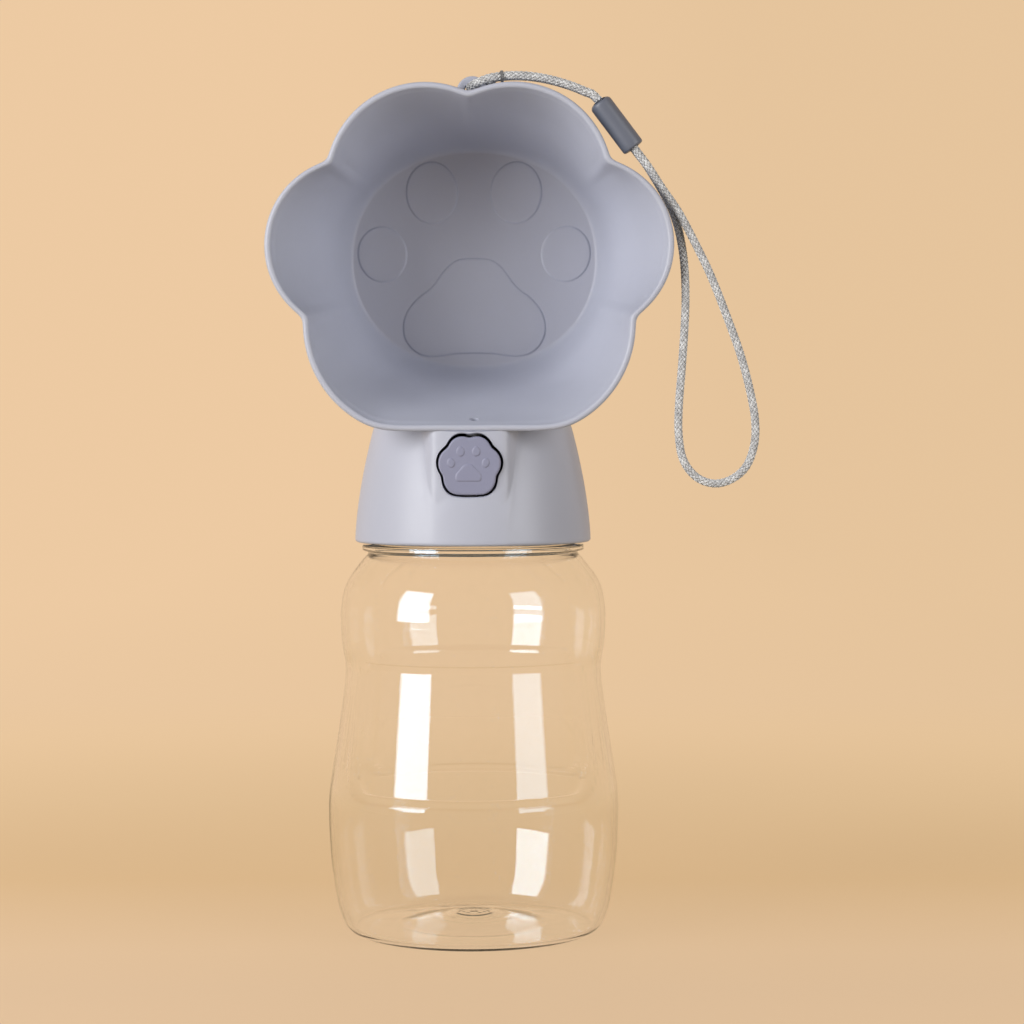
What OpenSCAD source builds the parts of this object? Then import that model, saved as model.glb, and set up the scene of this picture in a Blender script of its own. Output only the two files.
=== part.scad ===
// Travel water bottle for dogs: a clear bottle with a flower-shaped drinking bowl screwed on top.
// A sprung button in the collar opens a valve between the bottle and the bowl.
// The origin is the centre of the bottle's base, +Z is up, and the bowl opens towards -Y.
// All lengths are in millimetres.

/* [Bottle] */
// Largest radius of the body
belly_r = 37.2; // [35.5:0.1:42]
// Height of the largest radius
belly_z = 31; // [27:0.5:34]
// Radius of the waist
waist_r = 32.8; // [30:0.1:34]
// Height of the waist
waist_z = 66.5; // [62:0.5:70]
// Radius of the shoulder bulge
shoulder_r = 34; // [33:0.1:38]
// Height of the shoulder bulge
shoulder_z = 80; // [77:0.5:82]
// Mean radius of the ring that the bottle stands on
foot_r = 26; // [22:0.1:28]
// Width of that ring
foot_w = 2; // [1:0.1:3]
// Height of the dome pushed up into the base
dome_h = 5.5; // [3:0.5:9]
// Thickness of the clear wall
bottle_wall = 1.3; // [1:0.1:2]
// Height of the neck bead's underside
bead_z = 97; // [96:0.5:104]
// Height of the neck bead
bead_h = 1.5; // [1:0.1:3]
// Radius of the neck bead
bead_r = 28.4; // [27:0.1:29.5]
// Radius of the groove under the bead
groove_r = 26.9; // [25:0.1:27.5]
// Outer radius of the neck
neck_r = 23.6; // [22:0.1:24]
// Thickness of the neck's wall
neck_wall = 1.7; // [1.4:0.1:2.2]
// Height of the neck above the bead
neck_h = 10; // [10:0.5:14]

/* [Grip panel] */
// Depth of the panel pressed into the body's front and back
grip_depth = 0.6; // [0.3:0.1:0.9]
// Half of the angle that the panel takes around the body
grip_angle = 58; // [40:1:75]
// Height of the panel's lower edge
grip_low_z = 36; // [30:0.5:40]
// Height of the panel's upper edge
grip_top_z = 69; // [56:0.5:71]

/* [Screw thread] */
// Rise of the thread in one turn
pitch = 4; // [3.5:0.1:5]
// Height of the thread above the neck
thread_h = 1.1; // [0.8:0.1:1.2]
// Width of the thread's foot
thread_w = 1.7; // [1.2:0.1:1.8]
// Turns of thread on the neck and in the insert
thread_turns = 1.25; // [1:0.05:1.5]
// Radial gap between the neck's thread and the insert
thread_gap = 0.3; // [0.2:0.05:0.5]

/* [Collar] */
// Thickness of the collar's skirt around the insert
skirt_wall = 3; // [2.6:0.1:4]
// Radius where the collar meets the bowl
collar_top_r = 25.7; // [24:0.1:27]
// Height of the collar from its lower edge to the bowl
collar_h = 28.1; // [26:0.1:34]
// Thickness of the collar's wall
collar_wall = 2.4; // [2:0.1:2.8]
// Height of the rounded heel that rises behind the bowl
heel_h = 24; // [16:0.5:28]
// Gap between the neck bead and the collar
collar_gap = 0.7; // [0.4:0.1:1.5]
// Radius of the rounding at the lower edge
edge_r = 0.8; // [0.3:0.1:1]
// Half width of the flat boss around the button
boss_half_w = 9.3; // [8.8:0.1:11]
// Depth of the boss behind its flat face
boss_depth = 7; // [5:0.5:8]
// How far each side of the boss spreads over that depth
boss_spread = 3; // [1:0.5:5]
// How far its face bows back from the middle to each side
boss_bow = 0.8; // [0:0.1:1.2]

/* [Threaded insert] */
// Thickness of the insert's wall around its thread
insert_wall = 2.2; // [1.6:0.1:2.4]
// Thickness of its deck
deck_t = 1.4; // [1:0.1:2]
// Thickness of the silicone seal on the bottle's lip
seal_t = 1; // [0.8:0.1:1.6]

/* [Bowl] */
// Upper lobes of the rim: distance from the middle, height above the bowl's centre, radius
top_lobe = [10.9, 17.9, 24.6];
// Side lobes of the rim
side_lobe = [28.9, 2.4, 21.6];
// Lower lobes of the rim
low_lobe = [13.2, -17.1, 27.8];
// Distance from the bowl's centre down to the flat that sits on the collar
bowl_flat = 43.7; // [42:0.1:44.5]
// Depth from the rim to the floor
bowl_depth = 45.8; // [38:0.1:50]
// Thickness of the bowl's wall
bowl_wall = 1.7; // [1.4:0.1:2.4]
// Distance of the rim's plane in front of the bottle's axis
rim_front = 28.8; // [27.5:0.1:30]
// Radius of the rounding between wall and floor
floor_fillet = 1.8; // [1.5:0.1:6]
// Height of the floor's middle above the bowl's centre
floor_rise = 1.7; // [0:0.1:3]
// Height of the raised paw pads on the floor
pad_h = 0.4; // [0.2:0.1:0.8]
// Radius of the hole that the water comes through
outlet_r = 1.15; // [0.9:0.05:1.3]
// Distance of that hole behind the rim
outlet_back = 4.5; // [4:0.1:5.5]
// Distance of that hole to the side of the middle
outlet_x = 1; // [0:0.1:1.2]

/* [Eyelet] */
// Radius of the eyelet's hole
eyelet_hole_r = 2.2; // [2:0.1:2.6]
// Width of the eyelet's band around the hole
eyelet_band = 1.9; // [1.5:0.1:2.4]
// Thickness of the eyelet from front to back
eyelet_t = 2; // [1.5:0.1:2.6]
// Distance of the eyelet's middle behind the rim
eyelet_back = 8.3; // [8:0.1:8.6]

/* [Button] */
// Lobes of the button's opening: distance from the middle, height above its centre, radius
button_top_lobe = [2.0, 3.9, 3.8];
// Side lobes of the opening
button_side_lobe = [3.7, 0.5, 4.65];
// Lower lobes of the opening
button_low_lobe = [2.6, -3.5, 4.7];
// Distance from the button's centre down to the opening's flat
button_flat = 8; // [7.6:0.1:8.4]
// Height of the button's centre above the collar's lower edge
button_up = 20; // [19.7:0.1:20.3]
// Gap around the button
button_gap = 0.6; // [0.3:0.05:0.7]
// Thickness of the button's plate
button_t = 2; // [1.6:0.1:2.4]
// How far the button stands proud of the boss
button_proud = 0.7; // [0.2:0.1:1.2]
// Travel of the button
stroke = 2.5; // [1.5:0.1:2.6]

/* [Valve] */
// Radius of the plunger's piston
piston_r = 3.1; // [2.8:0.05:3.2]
// Radius of the plunger's stem
stem_r = 1.3; // [1:0.05:1.5]
// Radial running gap between moving and fixed parts of the valve
valve_gap = 0.08; // [0.05:0.01:0.1]
// Thickness of the valve's walls
valve_wall = 1.5; // [1.2:0.1:1.7]
// Radius of the chamber behind the valve's seat
chamber_r = 4.8; // [4.6:0.1:5]
// Distance from the valve's front to its seat
seat_back = 16.4; // [15:0.1:18]
// Length of the chamber behind the seat
chamber_l = 20; // [18:0.1:22]
// Thickness of the seal washer on the valve's seat
washer_t = 1; // [0.8:0.1:1.4]
// Thickness of the plunger's head
head_t = 2.5; // [2:0.1:3]
// Radius of the cord of the O-rings
o_ring_r = 0.45; // [0.35:0.05:0.5]
// Radius of the inlet's bore
inlet_r = 2.4; // [2:0.1:2.8]
// Length of the plug that closes the chamber
plug_l = 4; // [3.5:0.1:5]
// Radius of the spring's wire
wire_r = 0.3; // [0.2:0.05:0.4]
// Mean radius of the spring
coil_r = 3.2; // [2.6:0.1:3.6]
// Turns of the spring
coil_turns = 6; // [4:1:8]

/* [Wrist cord] */
// Diameter of the cord
cord_d = 2.1; // [1.6:0.1:2.2]
// Length of the slider
slider_l = 14.4; // [10:0.1:16]
// Radius of the slider
slider_r = 3; // [2.9:0.1:3.6]
// Gap between the slider's slot and the cord
slider_gap = 0.15; // [0.1:0.05:0.3]
// Length of the binding that ties both strands
binding_l = 3; // [2:0.1:4]
// Thickness of the binding
binding_t = 0.5; // [0.3:0.1:0.8]

/* [Hidden] */
$fn = 96;

// Play between glued pieces
glue_gap = 0.1;
// Overlap that makes a cut or a joined shape run through
over = 1;
// Overlap that sinks a thread, pad or boss into the wall that carries it
sunk = 0.4;
// How sharply two lobes of the flower meet
crease = 60;
// Clearance behind the button when it is fully pressed
button_clear = 0.6;

// Heights, worked out from the bottom up
neck_z = bead_z + bead_h;
lip_z = neck_z + neck_h;
deck_z = lip_z + seal_t;
ledge_z = deck_z + deck_t;
collar_z = neck_z + collar_gap;
insert_z = collar_z + collar_gap;
button_z = collar_z + button_up;
collar_top = collar_z + collar_h;
bowl_z = collar_top + bowl_flat;
floor_z = bowl_z + floor_rise;

// Radii, worked out from the neck outwards
neck_bore_r = neck_r - neck_wall;
insert_bore_r = neck_r + thread_h + thread_gap;
insert_r = insert_bore_r + insert_wall;
collar_r = insert_r + skirt_wall;

// Depths, from the rim towards the back
rim_y = -rim_front;
floor_y = rim_y + bowl_depth;
outlet_y = rim_y + outlet_back;
eyelet_y = rim_y + eyelet_back;
button_y = rim_y - button_proud;
button_back = button_y + button_t;
valve_y = button_back + stroke + button_clear;
seat_y = valve_y + seat_back;
valve_end = seat_y + chamber_l;
plug_y = valve_end - plug_l;

// ---------- small geometry helpers ----------

function mix(a, b, t) = a + (b - a) * t;
function unit(v) = v / norm(v);
function total(list, i = 0) = i < len(list) - 1 ? list[i] + total(list, i + 1) : list[i];
function reversed(list) = [for (i = [len(list) - 1:-1:0]) list[i]];

// Point at t on the smooth curve through four neighbouring points
function curve_point(a, b, c, d, t) =
  (2 * b + (c - a) * t + (2 * a - 5 * b + 4 * c - d) * t * t + (3 * b - a - 3 * c + d) * t * t * t) / 2;

// Smooth curve through a list of points, with n steps between neighbours
function smooth(p, n) = let (last = len(p) - 1) concat(
  [for (i = [0:last - 1], k = [0:n - 1])
    curve_point(p[max(0, i - 1)], p[i], p[i + 1], p[min(last, i + 2)], k / n)],
  [p[last]]
);

// The same line moved sideways by d, to the left of its direction
function moved_left(p, d) = let (last = len(p) - 1) [for (i = [0:last])
  let (along = unit(p[min(last, i + 1)] - p[max(0, i - 1)])) p[i] + d * [-along[1], along[0]]];

// Skin of a tube of rings, each with n points, closed by a point at both ends
function ring_faces(rings, n) = concat(
  [for (i = [0:rings - 2], k = [0:n - 1]) let (a = i * n + k, b = i * n + (k + 1) % n) [a, a + n, b]],
  [for (i = [0:rings - 2], k = [0:n - 1]) let (a = i * n + k, b = i * n + (k + 1) % n) [b, a + n, b + n]],
  [for (k = [0:n - 1]) [rings * n, k, (k + 1) % n]],
  [for (k = [0:n - 1]) let (a = (rings - 1) * n) [rings * n + 1, a + (k + 1) % n, a + k]]
);

module skin(rings, first, last) {
  n = len(rings[0]);
  points = concat([for (ring = rings, p = ring) p], [first, last]);
  polyhedron(points, ring_faces(len(rings), n), convexity = 10);
}

// Turns a shape drawn upwards so that it runs back along +Y from y
module along_y(y, x = 0, z = 0) {
  translate([x, y, z]) rotate([-90, 0, 0]) children();
}

module tube(inner_r, outer_r, h) {
  difference() {
    cylinder(r = outer_r, h = h);
    translate([0, 0, -over]) cylinder(r = inner_r, h = h + 2 * over);
  }
}

module torus(mean_r, cord_r) {
  rotate_extrude() translate([mean_r, 0]) circle(r = cord_r, $fn = 24);
}

// ---------- flower outline ----------

// Distance from the origin, in the direction u, to the far side of a circle
function far_side(c, r, u) = let (a = c * u, q = r * r - c * c + a * a)
  q <= 0 ? 0.001 : max(0.001, a + sqrt(q));

// Radius of a flower of mirrored pairs of lobes with a flat foot, at the angle t
function flower_r(lobes, flat, t) = let (
  u = [cos(t), sin(t)],
  scale_r = lobes[0][2],
  reach = [for (lobe = lobes, side = [-1, 1]) far_side([side * lobe[0], lobe[1]], lobe[2], u)],
  petal = scale_r * pow(total([for (d = reach) pow(d / scale_r, crease)]), 1 / crease),
  foot = flat / max(0.001, -u[1])
) petal * pow(1 + pow(petal / foot, crease), -1 / crease);

function flower_points(lobes, flat, n, inset = 0) = [for (i = [0:n - 1])
  let (t = 360 * i / n) (flower_r(lobes, flat, t) - inset) * [cos(t), sin(t)]];

// ---------- bottle ----------

// Outside of the bottle as [radius, height], from the standing ring to the groove under the bead
bottle_keys = [
  [foot_r + foot_w / 2, 0], [foot_r + 5.2, 2.4], [belly_r - 3.4, 7], [belly_r - 1.6, 12.5],
  [belly_r - 0.5, 20], [belly_r, belly_z], [belly_r - 1.1, belly_z + 10],
  [waist_r + 1.1, waist_z - 10], [waist_r, waist_z], [shoulder_r - 0.3, shoulder_z - 7],
  [shoulder_r, shoulder_z], [shoulder_r - 0.8, bead_z - 11], [shoulder_r - 2.6, bead_z - 7.3],
  [groove_r + 1.5, bead_z - 2.6], [groove_r, bead_z - 0.8]
];
wall_steps = 3;
grip_steps = 12;
bead_edge = 0.4;
bottle_outside = smooth(bottle_keys, wall_steps);
bottle_inside = [for (p = moved_left(bottle_outside, bottle_wall)) if (p[1] > bottle_wall) p];
dome_points = [for (t = [0:0.125:1]) [(foot_r - foot_w / 2) * (1 - t), dome_h * sin(90 * t)]];

// The neck's thread begins this far above the bead, and the insert's thread lies between its turns
thread_start = 2.4;
thread_z = neck_z + thread_start;
insert_thread_z = thread_z + pitch / 2;

// Ridge of trapezoid section that climbs around a wall of radius r.
// It stands out by height when that is positive, and into the bore when it is negative.
module thread_ridge(r, height, z) {
  steps = 28;
  count = round(steps * thread_turns);
  out = height > 0 ? 1 : -1;
  rings = [for (i = [0:count]) let (
    t = 360 * i / steps,
    z_mid = z + pitch * i / steps,
    run_in = min(1, min(i, count - i) / 3 + 0.25),
    root = r - out * sunk,
    crest = r + height * run_in
  ) [for (p = [[root, -thread_w / 2], [crest, -thread_w / 4], [crest, thread_w / 4], [root, thread_w / 2]])
      [p[0] * cos(t), p[0] * sin(t), z_mid + p[1]]]];
  ends = [for (ring = [rings[0], rings[count]]) total([for (p = ring) p / 4])];
  if (out > 0) skin(reversed(rings), ends[1], ends[0]);
  else skin(rings, ends[0], ends[1]);
}

// Band that follows the body between two depths under its outside, at the grip panel's height.
// It is turned to the front or, with turn = 180, to the back.
module grip_band(shallow, deep, turn) {
  side = [for (p = bottle_outside) [p[1], p[0]]];
  heights = [for (i = [0:grip_steps]) mix(grip_low_z, grip_top_z, i / grip_steps)];
  rotate([0, 0, turn - 90 - grip_angle]) rotate_extrude(angle = 2 * grip_angle) polygon(concat(
    [for (z = heights) [lookup(z, side) - shallow, z]],
    [for (z = reversed(heights)) [lookup(z, side) - deep, z]]
  ));
}

module bottle() {
  color([0.85, 0.88, 0.9, 0.35]) {
    difference() {
      union() {
        rotate_extrude() polygon(concat(
          bottle_outside,
          [[bead_r - bead_edge, bead_z], [bead_r, bead_z + bead_edge]],
          [[bead_r, neck_z - bead_edge], [bead_r - bead_edge, neck_z]],
          [[neck_r, neck_z], [neck_r, lip_z], [neck_bore_r, lip_z], [neck_bore_r, bead_z + bead_edge]],
          reversed(bottle_inside),
          [for (p = dome_points) [max(0, p[0] - bottle_wall / 2), p[1] + bottle_wall]],
          reversed(dome_points)
        ));
        for (turn = [0, 180]) grip_band(grip_depth + sunk, grip_depth + bottle_wall, turn);
      }
      for (turn = [0, 180]) grip_band(-over, grip_depth, turn);
    }
    thread_ridge(neck_r, thread_h, thread_z);
  }
}
// ---------- head: seal, insert and collar ----------

// How far a seal reaches past the edge that it closes
seal_edge = 0.4;

module neck_seal() {
  color("whitesmoke") translate([0, 0, lip_z])
    tube(neck_bore_r - seal_edge, neck_r + seal_edge, seal_t);
}

module thread_insert() {
  color([0.72, 0.73, 0.77]) difference() {
    union() {
      translate([0, 0, insert_z]) tube(insert_bore_r, insert_r - glue_gap / 2, ledge_z - insert_z);
      translate([0, 0, deck_z]) cylinder(r = insert_r - glue_gap, h = deck_t);
      thread_ridge(insert_bore_r, -thread_h, insert_thread_z);
    }
    translate([0, 0, deck_z - over]) cylinder(r = inlet_r + valve_wall + glue_gap, h = deck_t + 2 * over);
  }
}

// Outside radius of the collar at a height, up to the bowl
collar_bend = 1.6;
function collar_side_r(z) =
  collar_r - (collar_r - collar_top_r) * pow((z - collar_z) / collar_h, collar_bend);

// The heel carries on as an ellipse that starts with the side's own slope
side_slope = collar_bend * (collar_r - collar_top_r) / collar_h;
heel_k = side_slope * heel_h / collar_top_r;
heel_start = (sqrt(1 + 4 * heel_k * heel_k) - 1) / (2 * heel_k);
heel_r = collar_top_r / sqrt(1 - heel_start * heel_start);
collar_outside = concat(
  [[collar_r - edge_r, collar_z], [collar_r - edge_r * 0.3, collar_z + edge_r * 0.3]],
  [for (z = [edge_r:(collar_h - edge_r) / 10:collar_h - 0.01]) [collar_side_r(collar_z + z), collar_z + z]],
  [for (i = [0:10]) let (s = mix(heel_start, 1, sin(9 * i)))
    [heel_r * sqrt(max(0, 1 - s * s)), collar_top + (s - heel_start) * heel_h]]
);
collar_inside = [for (p = moved_left(collar_outside, collar_wall))
  if (p[1] > ledge_z + sunk && p[0] > collar_wall) p];
// The boss runs up past the bowl's underside, which cuts it off
boss_h = collar_h + boss_depth;

module collar() {
  color([0.72, 0.73, 0.78]) difference() {
    union() {
      rotate_extrude() polygon(concat([[0, collar_z]], collar_outside));
      translate([0, 0, collar_z + edge_r]) linear_extrude(boss_h) polygon([
        for (x = [-1:0.25:1]) [x * boss_half_w, rim_y + boss_bow * x * x],
        [boss_half_w + boss_spread, rim_y + boss_depth], [-boss_half_w - boss_spread, rim_y + boss_depth]
      ]);
    }
    rotate_extrude() polygon(concat(
      [[0, ledge_z], [collar_inside[0][0], ledge_z]],
      collar_inside,
      [[0, collar_inside[len(collar_inside) - 1][1]]]
    ));
    translate([0, 0, collar_z - over]) cylinder(r = insert_r, h = ledge_z - collar_z + over);
    bowl_hull(glue_gap);
    along_y(-collar_r - over, 0, button_z) mirror([0, 1])
      linear_extrude(collar_r + rim_y + boss_depth + 2 * over)
      polygon(flower_points(button_lobes, button_flat, button_n));
    outlet_duct(duct_r + glue_gap);
    at_outlet() translate([0, 0, -outlet_seal_t - 2 * glue_gap])
      cylinder(r = duct_r + seal_edge + glue_gap, h = outlet_seal_t + over);
  }
}

// ---------- bowl ----------

// A lobe in the middle keeps the foot straight between the two lower ones
bowl_lobes = [top_lobe, side_lobe, low_lobe, [0, low_lobe[1], low_lobe[2]]];
// The floor is a rounded polygon: each side's direction and distance from the floor's middle
floor_sides = [[90, 30.3], [42, 31.6], [11, 32.6], [-17, 32.7], [-47, 31.2], [-90, 29.3]];
floor_round = 20;
bowl_n = 80;
wall_rings = 4;

function floor_r(t) = pow(total([for (side = floor_sides, a = [side[0], 180 - side[0]])
  pow(max(0, cos(t - a)) / side[1], floor_round)]), -1 / floor_round);

// Ring of the bowl at a share of its depth. It lies on the outside of the wall,
// or grow beyond it; a negative grow goes into the wall.
function bowl_ring(share, grow) = [for (i = [0:bowl_n - 1]) let (
  t = 360 * i / bowl_n,
  r = mix(flower_r(bowl_lobes, bowl_flat, t), floor_r(t) + bowl_wall, share) + grow
) [r * cos(t), rim_y + share * bowl_depth, bowl_z + share * floor_rise + r * sin(t)]];

function ring_at_y(ring, y) = [for (p = ring) [p[0], y, p[2]]];

// Rings around the edge between wall and floor, a quarter circle of radius r
function edge_rings(r, grow, y) = [for (a = [15:25:90])
  ring_at_y(bowl_ring(1, grow - r * (1 - cos(a))), y - r * (1 - sin(a)))];

wall_shares = [for (i = [1:wall_rings]) (i - 0.5) / wall_rings * (1 - floor_fillet / bowl_depth)];
outside_rings = concat(
  [for (share = wall_shares) bowl_ring(share, 0)],
  edge_rings(floor_fillet + bowl_wall, 0, floor_y + bowl_wall)
);
inside_rings = concat(
  [for (share = wall_shares) bowl_ring(share, -bowl_wall)],
  edge_rings(floor_fillet, -bowl_wall, floor_y)
);
// The rim is a half round as thick as the wall
lip_r = bowl_wall / 2;
lip_rings = [for (a = [-90:45:90])
  ring_at_y(bowl_ring(0, -lip_r + lip_r * sin(a)), rim_y + lip_r * (1 - cos(a)))];

// Solid that fills the bowl out to its outer skin, grown by a gap and run out forwards
module bowl_hull(gap) {
  wall = [for (i = [0:wall_rings]) bowl_ring(i / wall_rings * (1 - floor_fillet / bowl_depth), gap)];
  front = ring_at_y(wall[0], rim_y - 3 * over);
  rings = concat([front], wall, edge_rings(floor_fillet + bowl_wall, gap, floor_y + bowl_wall + gap));
  skin(reversed(rings), [0, floor_y + bowl_wall + gap, floor_z], [0, front[0][1], bowl_z]);
}

// Underside of the bowl at the flat foot: a plane that climbs towards the back
foot_climb = bowl_flat - (floor_r(270) + bowl_wall) + floor_rise;
foot_angle = atan(foot_climb / bowl_depth);
outlet_z = collar_top + outlet_back * tan(foot_angle);

// Puts a shape on the bowl's underside at the outlet, with its own +Z out of the wall upwards
module at_outlet() {
  translate([outlet_x, outlet_y, outlet_z]) rotate([foot_angle, 0, 0]) children();
}

// Toes of the paw on the floor: place and half sizes, in the floor's own plane
paw_toes = [[11.1, 17.6, 6.7, 8.1], [24.2, 1.4, 6.5, 7.2]];
paw_pad = [
  [0, 0.2], [3.6, 0], [6.4, -1.5], [10.1, -6.2], [13.2, -9.1], [16.6, -12.2], [18.7, -17.7],
  [16.8, -23.1], [11.5, -25.5], [4.7, -24.8], [0, -24.7]
];

module paw_outline() {
  for (toe = paw_toes, side = [-1, 1]) polygon([for (t = [0:15:345])
    [side * toe[0] + toe[2] * cos(t), toe[1] + toe[3] * sin(t)]]);
  right = smooth(paw_pad, 2);
  polygon(concat(right, [for (p = reversed(right)) if (p[0] > 0) [-p[0], p[1]]]));
}

function notch_z(back) = let (share = back / bowl_depth)
  bowl_z + share * floor_rise
  + mix(flower_r(bowl_lobes, bowl_flat, 90), floor_r(90) + bowl_wall, share);
// The eyelet's hole clears the rim by this much
eyelet_lift = 0.3;
eyelet_z = notch_z(eyelet_back) + eyelet_hole_r + eyelet_lift;
eyelet_r = eyelet_hole_r + eyelet_band;

module bowl() {
  color([0.74, 0.75, 0.8]) difference() {
    union() {
      skin(
        concat(reversed(outside_rings), reversed(lip_rings), inside_rings),
        [0, floor_y + bowl_wall, floor_z], [0, floor_y, floor_z]
      );
      along_y(floor_y - pad_h, 0, floor_z) mirror([0, 1]) linear_extrude(pad_h + sunk) paw_outline();
      along_y(eyelet_y - eyelet_t / 2, 0, eyelet_z) cylinder(r = eyelet_r, h = eyelet_t);
    }
    along_y(eyelet_y - eyelet_t, 0, eyelet_z) cylinder(r = eyelet_hole_r, h = 2 * eyelet_t);
    at_outlet() translate([0, 0, -over]) cylinder(r = outlet_r, h = bowl_wall + 2 * over, $fn = 32);
  }
}

// ---------- button ----------

button_lobes = [
  button_top_lobe, button_side_lobe, button_low_lobe, [0, button_low_lobe[1], button_low_lobe[2]]
];
button_n = 60;
// Raised paw on the button: toes as place, and the pad's outline
button_toes = [[2, 3.2], [4.3, 0.6]];
button_toe_r = 0.8;
button_pad = [[0, -0.1], [3.1, -2.2], [3, -4.2], [-3, -4.2], [-3.1, -2.2]];
button_pad_h = pad_h / 2;
// Peg of the plunger that is glued into the button, and the plate left in front of it
peg_r = stem_r + sunk;
peg_skin = 0.8;
peg_l = button_t - peg_skin;

module button() {
  color([0.6, 0.61, 0.68]) difference() {
    union() {
      along_y(button_y, 0, button_z) mirror([0, 1]) linear_extrude(button_t)
        polygon(flower_points(button_lobes, button_flat, button_n, button_gap));
      along_y(button_y - button_pad_h, 0, button_z) mirror([0, 1]) linear_extrude(2 * button_pad_h)
        polygon(button_pad);
      for (toe = button_toes, side = [-1, 1])
        along_y(button_y - button_pad_h, side * toe[0], button_z + toe[1])
          cylinder(r = button_toe_r, h = 2 * button_pad_h, $fn = 32);
    }
    along_y(button_back - peg_l, 0, button_z) cylinder(r = peg_r + glue_gap / 2, h = peg_l + over);
  }
}

// ---------- valve ----------

bore_r = piston_r + valve_gap;
chamber_out_r = chamber_r + valve_wall;
// Play of an O-ring in its groove, across and along
ring_play = 0.03;
ring_room = 0.5;
// Width of the lands in front of and behind the piston's groove
piston_land = 0.7;
o_ring_mean_r = bore_r - valve_gap / 2 - o_ring_r;
groove_l = 2 * o_ring_r + ring_room;
groove_y = valve_y + piston_land;
piston_end = groove_y + groove_l + piston_land;
// The plunger's head, with a gap around it for the water
head_play = 0.6;
head_y = seat_y + washer_t;
head_r = chamber_r - head_play;
// Blind hole in the plug that guides the plunger's tail
guide_floor = 1;
guide_l = plug_l - guide_floor;
tail_end = plug_y + guide_l - stroke;
// The outlet's duct leans back by 45 degrees and ends on the valve's axis
duct_wall = 0.8;
duct_r = outlet_r + duct_wall;
duct_l = (outlet_z - button_z) * sqrt(2);
duct_top = 3;
outlet_seal_t = 0.8;

// Slanting duct from the bowl's outlet down into the valve's bore
module outlet_duct(r) {
  translate([outlet_x, outlet_y, outlet_z]) rotate([-135, 0, 0])
    translate([0, 0, -duct_top]) cylinder(r = r, h = duct_l + duct_top);
}

// Box that stands on the insert's deck and reaches up to a height
module foot_block(width, from_y, to_y, top_z) {
  translate([-width / 2, from_y, ledge_z]) cube([width, to_y - from_y, top_z - ledge_z]);
}

module valve_body() {
  color("gainsboro") difference() {
    union() {
      along_y(valve_y, 0, button_z) cylinder(r = bore_r + valve_wall, h = seat_back);
      along_y(seat_y - valve_wall, 0, button_z) cylinder(r = chamber_out_r, h = chamber_l + valve_wall);
      foot_block(bore_r, valve_y + bore_r, valve_y + 3 * bore_r, button_z - bore_r);
      foot_block(chamber_r, seat_y + chamber_r, valve_end - over, button_z - chamber_r);
      translate([0, 0, deck_z]) cylinder(r = inlet_r + valve_wall, h = button_z - chamber_r - deck_z);
      difference() {
        outlet_duct(duct_r);
        at_outlet() translate([-2 * duct_r, -4 * duct_r, -outlet_seal_t - glue_gap])
          cube([4 * duct_r, 8 * duct_r, 2 * duct_top]);
      }
    }
    along_y(valve_y - over, 0, button_z) cylinder(r = bore_r, h = seat_back + 2 * over);
    along_y(seat_y, 0, button_z) cylinder(r = chamber_r, h = chamber_l + over);
    translate([0, 0, deck_z - over]) cylinder(r = inlet_r, h = button_z - deck_z);
    outlet_duct(outlet_r);
  }
}

module outlet_seal() {
  color("whitesmoke") at_outlet() translate([0, 0, -outlet_seal_t - glue_gap])
    tube(outlet_r + glue_gap, duct_r + seal_edge, outlet_seal_t);
}

module plunger() {
  color("lightgray") difference() {
    union() {
      along_y(button_back - peg_l + glue_gap, 0, button_z) cylinder(r = peg_r, h = peg_l);
      along_y(button_back, 0, button_z) cylinder(r = piston_r, h = piston_end - button_back);
      along_y(piston_end - over, 0, button_z) cylinder(r = stem_r, h = tail_end - piston_end + over);
      along_y(head_y, 0, button_z) cylinder(r = head_r, h = head_t);
    }
    along_y(groove_y, 0, button_z) tube(o_ring_mean_r - o_ring_r - ring_play, piston_r + over, groove_l);
  }
}

module front_o_ring() {
  color("dimgray") along_y(groove_y + groove_l / 2, 0, button_z) torus(o_ring_mean_r, o_ring_r);
}

module seat_washer() {
  color("dimgray") along_y(seat_y, 0, button_z) tube(stem_r + glue_gap / 2, head_r, washer_t);
}

plug_ring_mean_r = chamber_r - glue_gap / 2 - o_ring_r;
plug_groove_y = plug_y + piston_land;

module valve_plug() {
  shank_r = chamber_r - glue_gap / 2;
  color("gainsboro") difference() {
    union() {
      along_y(plug_y, 0, button_z) cylinder(r = shank_r, h = plug_l);
      along_y(valve_end, 0, button_z) cylinder(r = chamber_out_r, h = valve_wall);
    }
    along_y(plug_y - over, 0, button_z) cylinder(r = stem_r + valve_gap, h = guide_l + over);
    along_y(plug_groove_y, 0, button_z)
      tube(plug_ring_mean_r - o_ring_r - ring_play, chamber_r + over, groove_l);
  }
}

module plug_o_ring() {
  color("dimgray") along_y(plug_groove_y + groove_l / 2, 0, button_z) torus(plug_ring_mean_r, o_ring_r);
}

module return_spring() {
  steps = 14;
  sides = 6;
  start_y = head_y + head_t + wire_r + glue_gap / 2;
  length = plug_y - wire_r - glue_gap / 2 - start_y;
  count = steps * coil_turns;
  rings = [for (i = [0:count]) let (t = 360 * i / steps) [for (k = [0:sides - 1]) let (
    a = 360 * k / sides,
    r = coil_r + wire_r * cos(a)
  ) [r * cos(t), start_y + length * i / count + wire_r * sin(a), button_z + r * sin(t)]]];
  ends = [for (ring = [rings[0], rings[count]]) total([for (p = ring) p / sides])];
  color("silver") skin(rings, ends[0], ends[1]);
}

// ---------- wrist cord ----------

// Distance between the two strands where they lie one behind the other
strand_gap = 2.2;
front_y = -25.6;
back_y = front_y + strand_gap;

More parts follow.
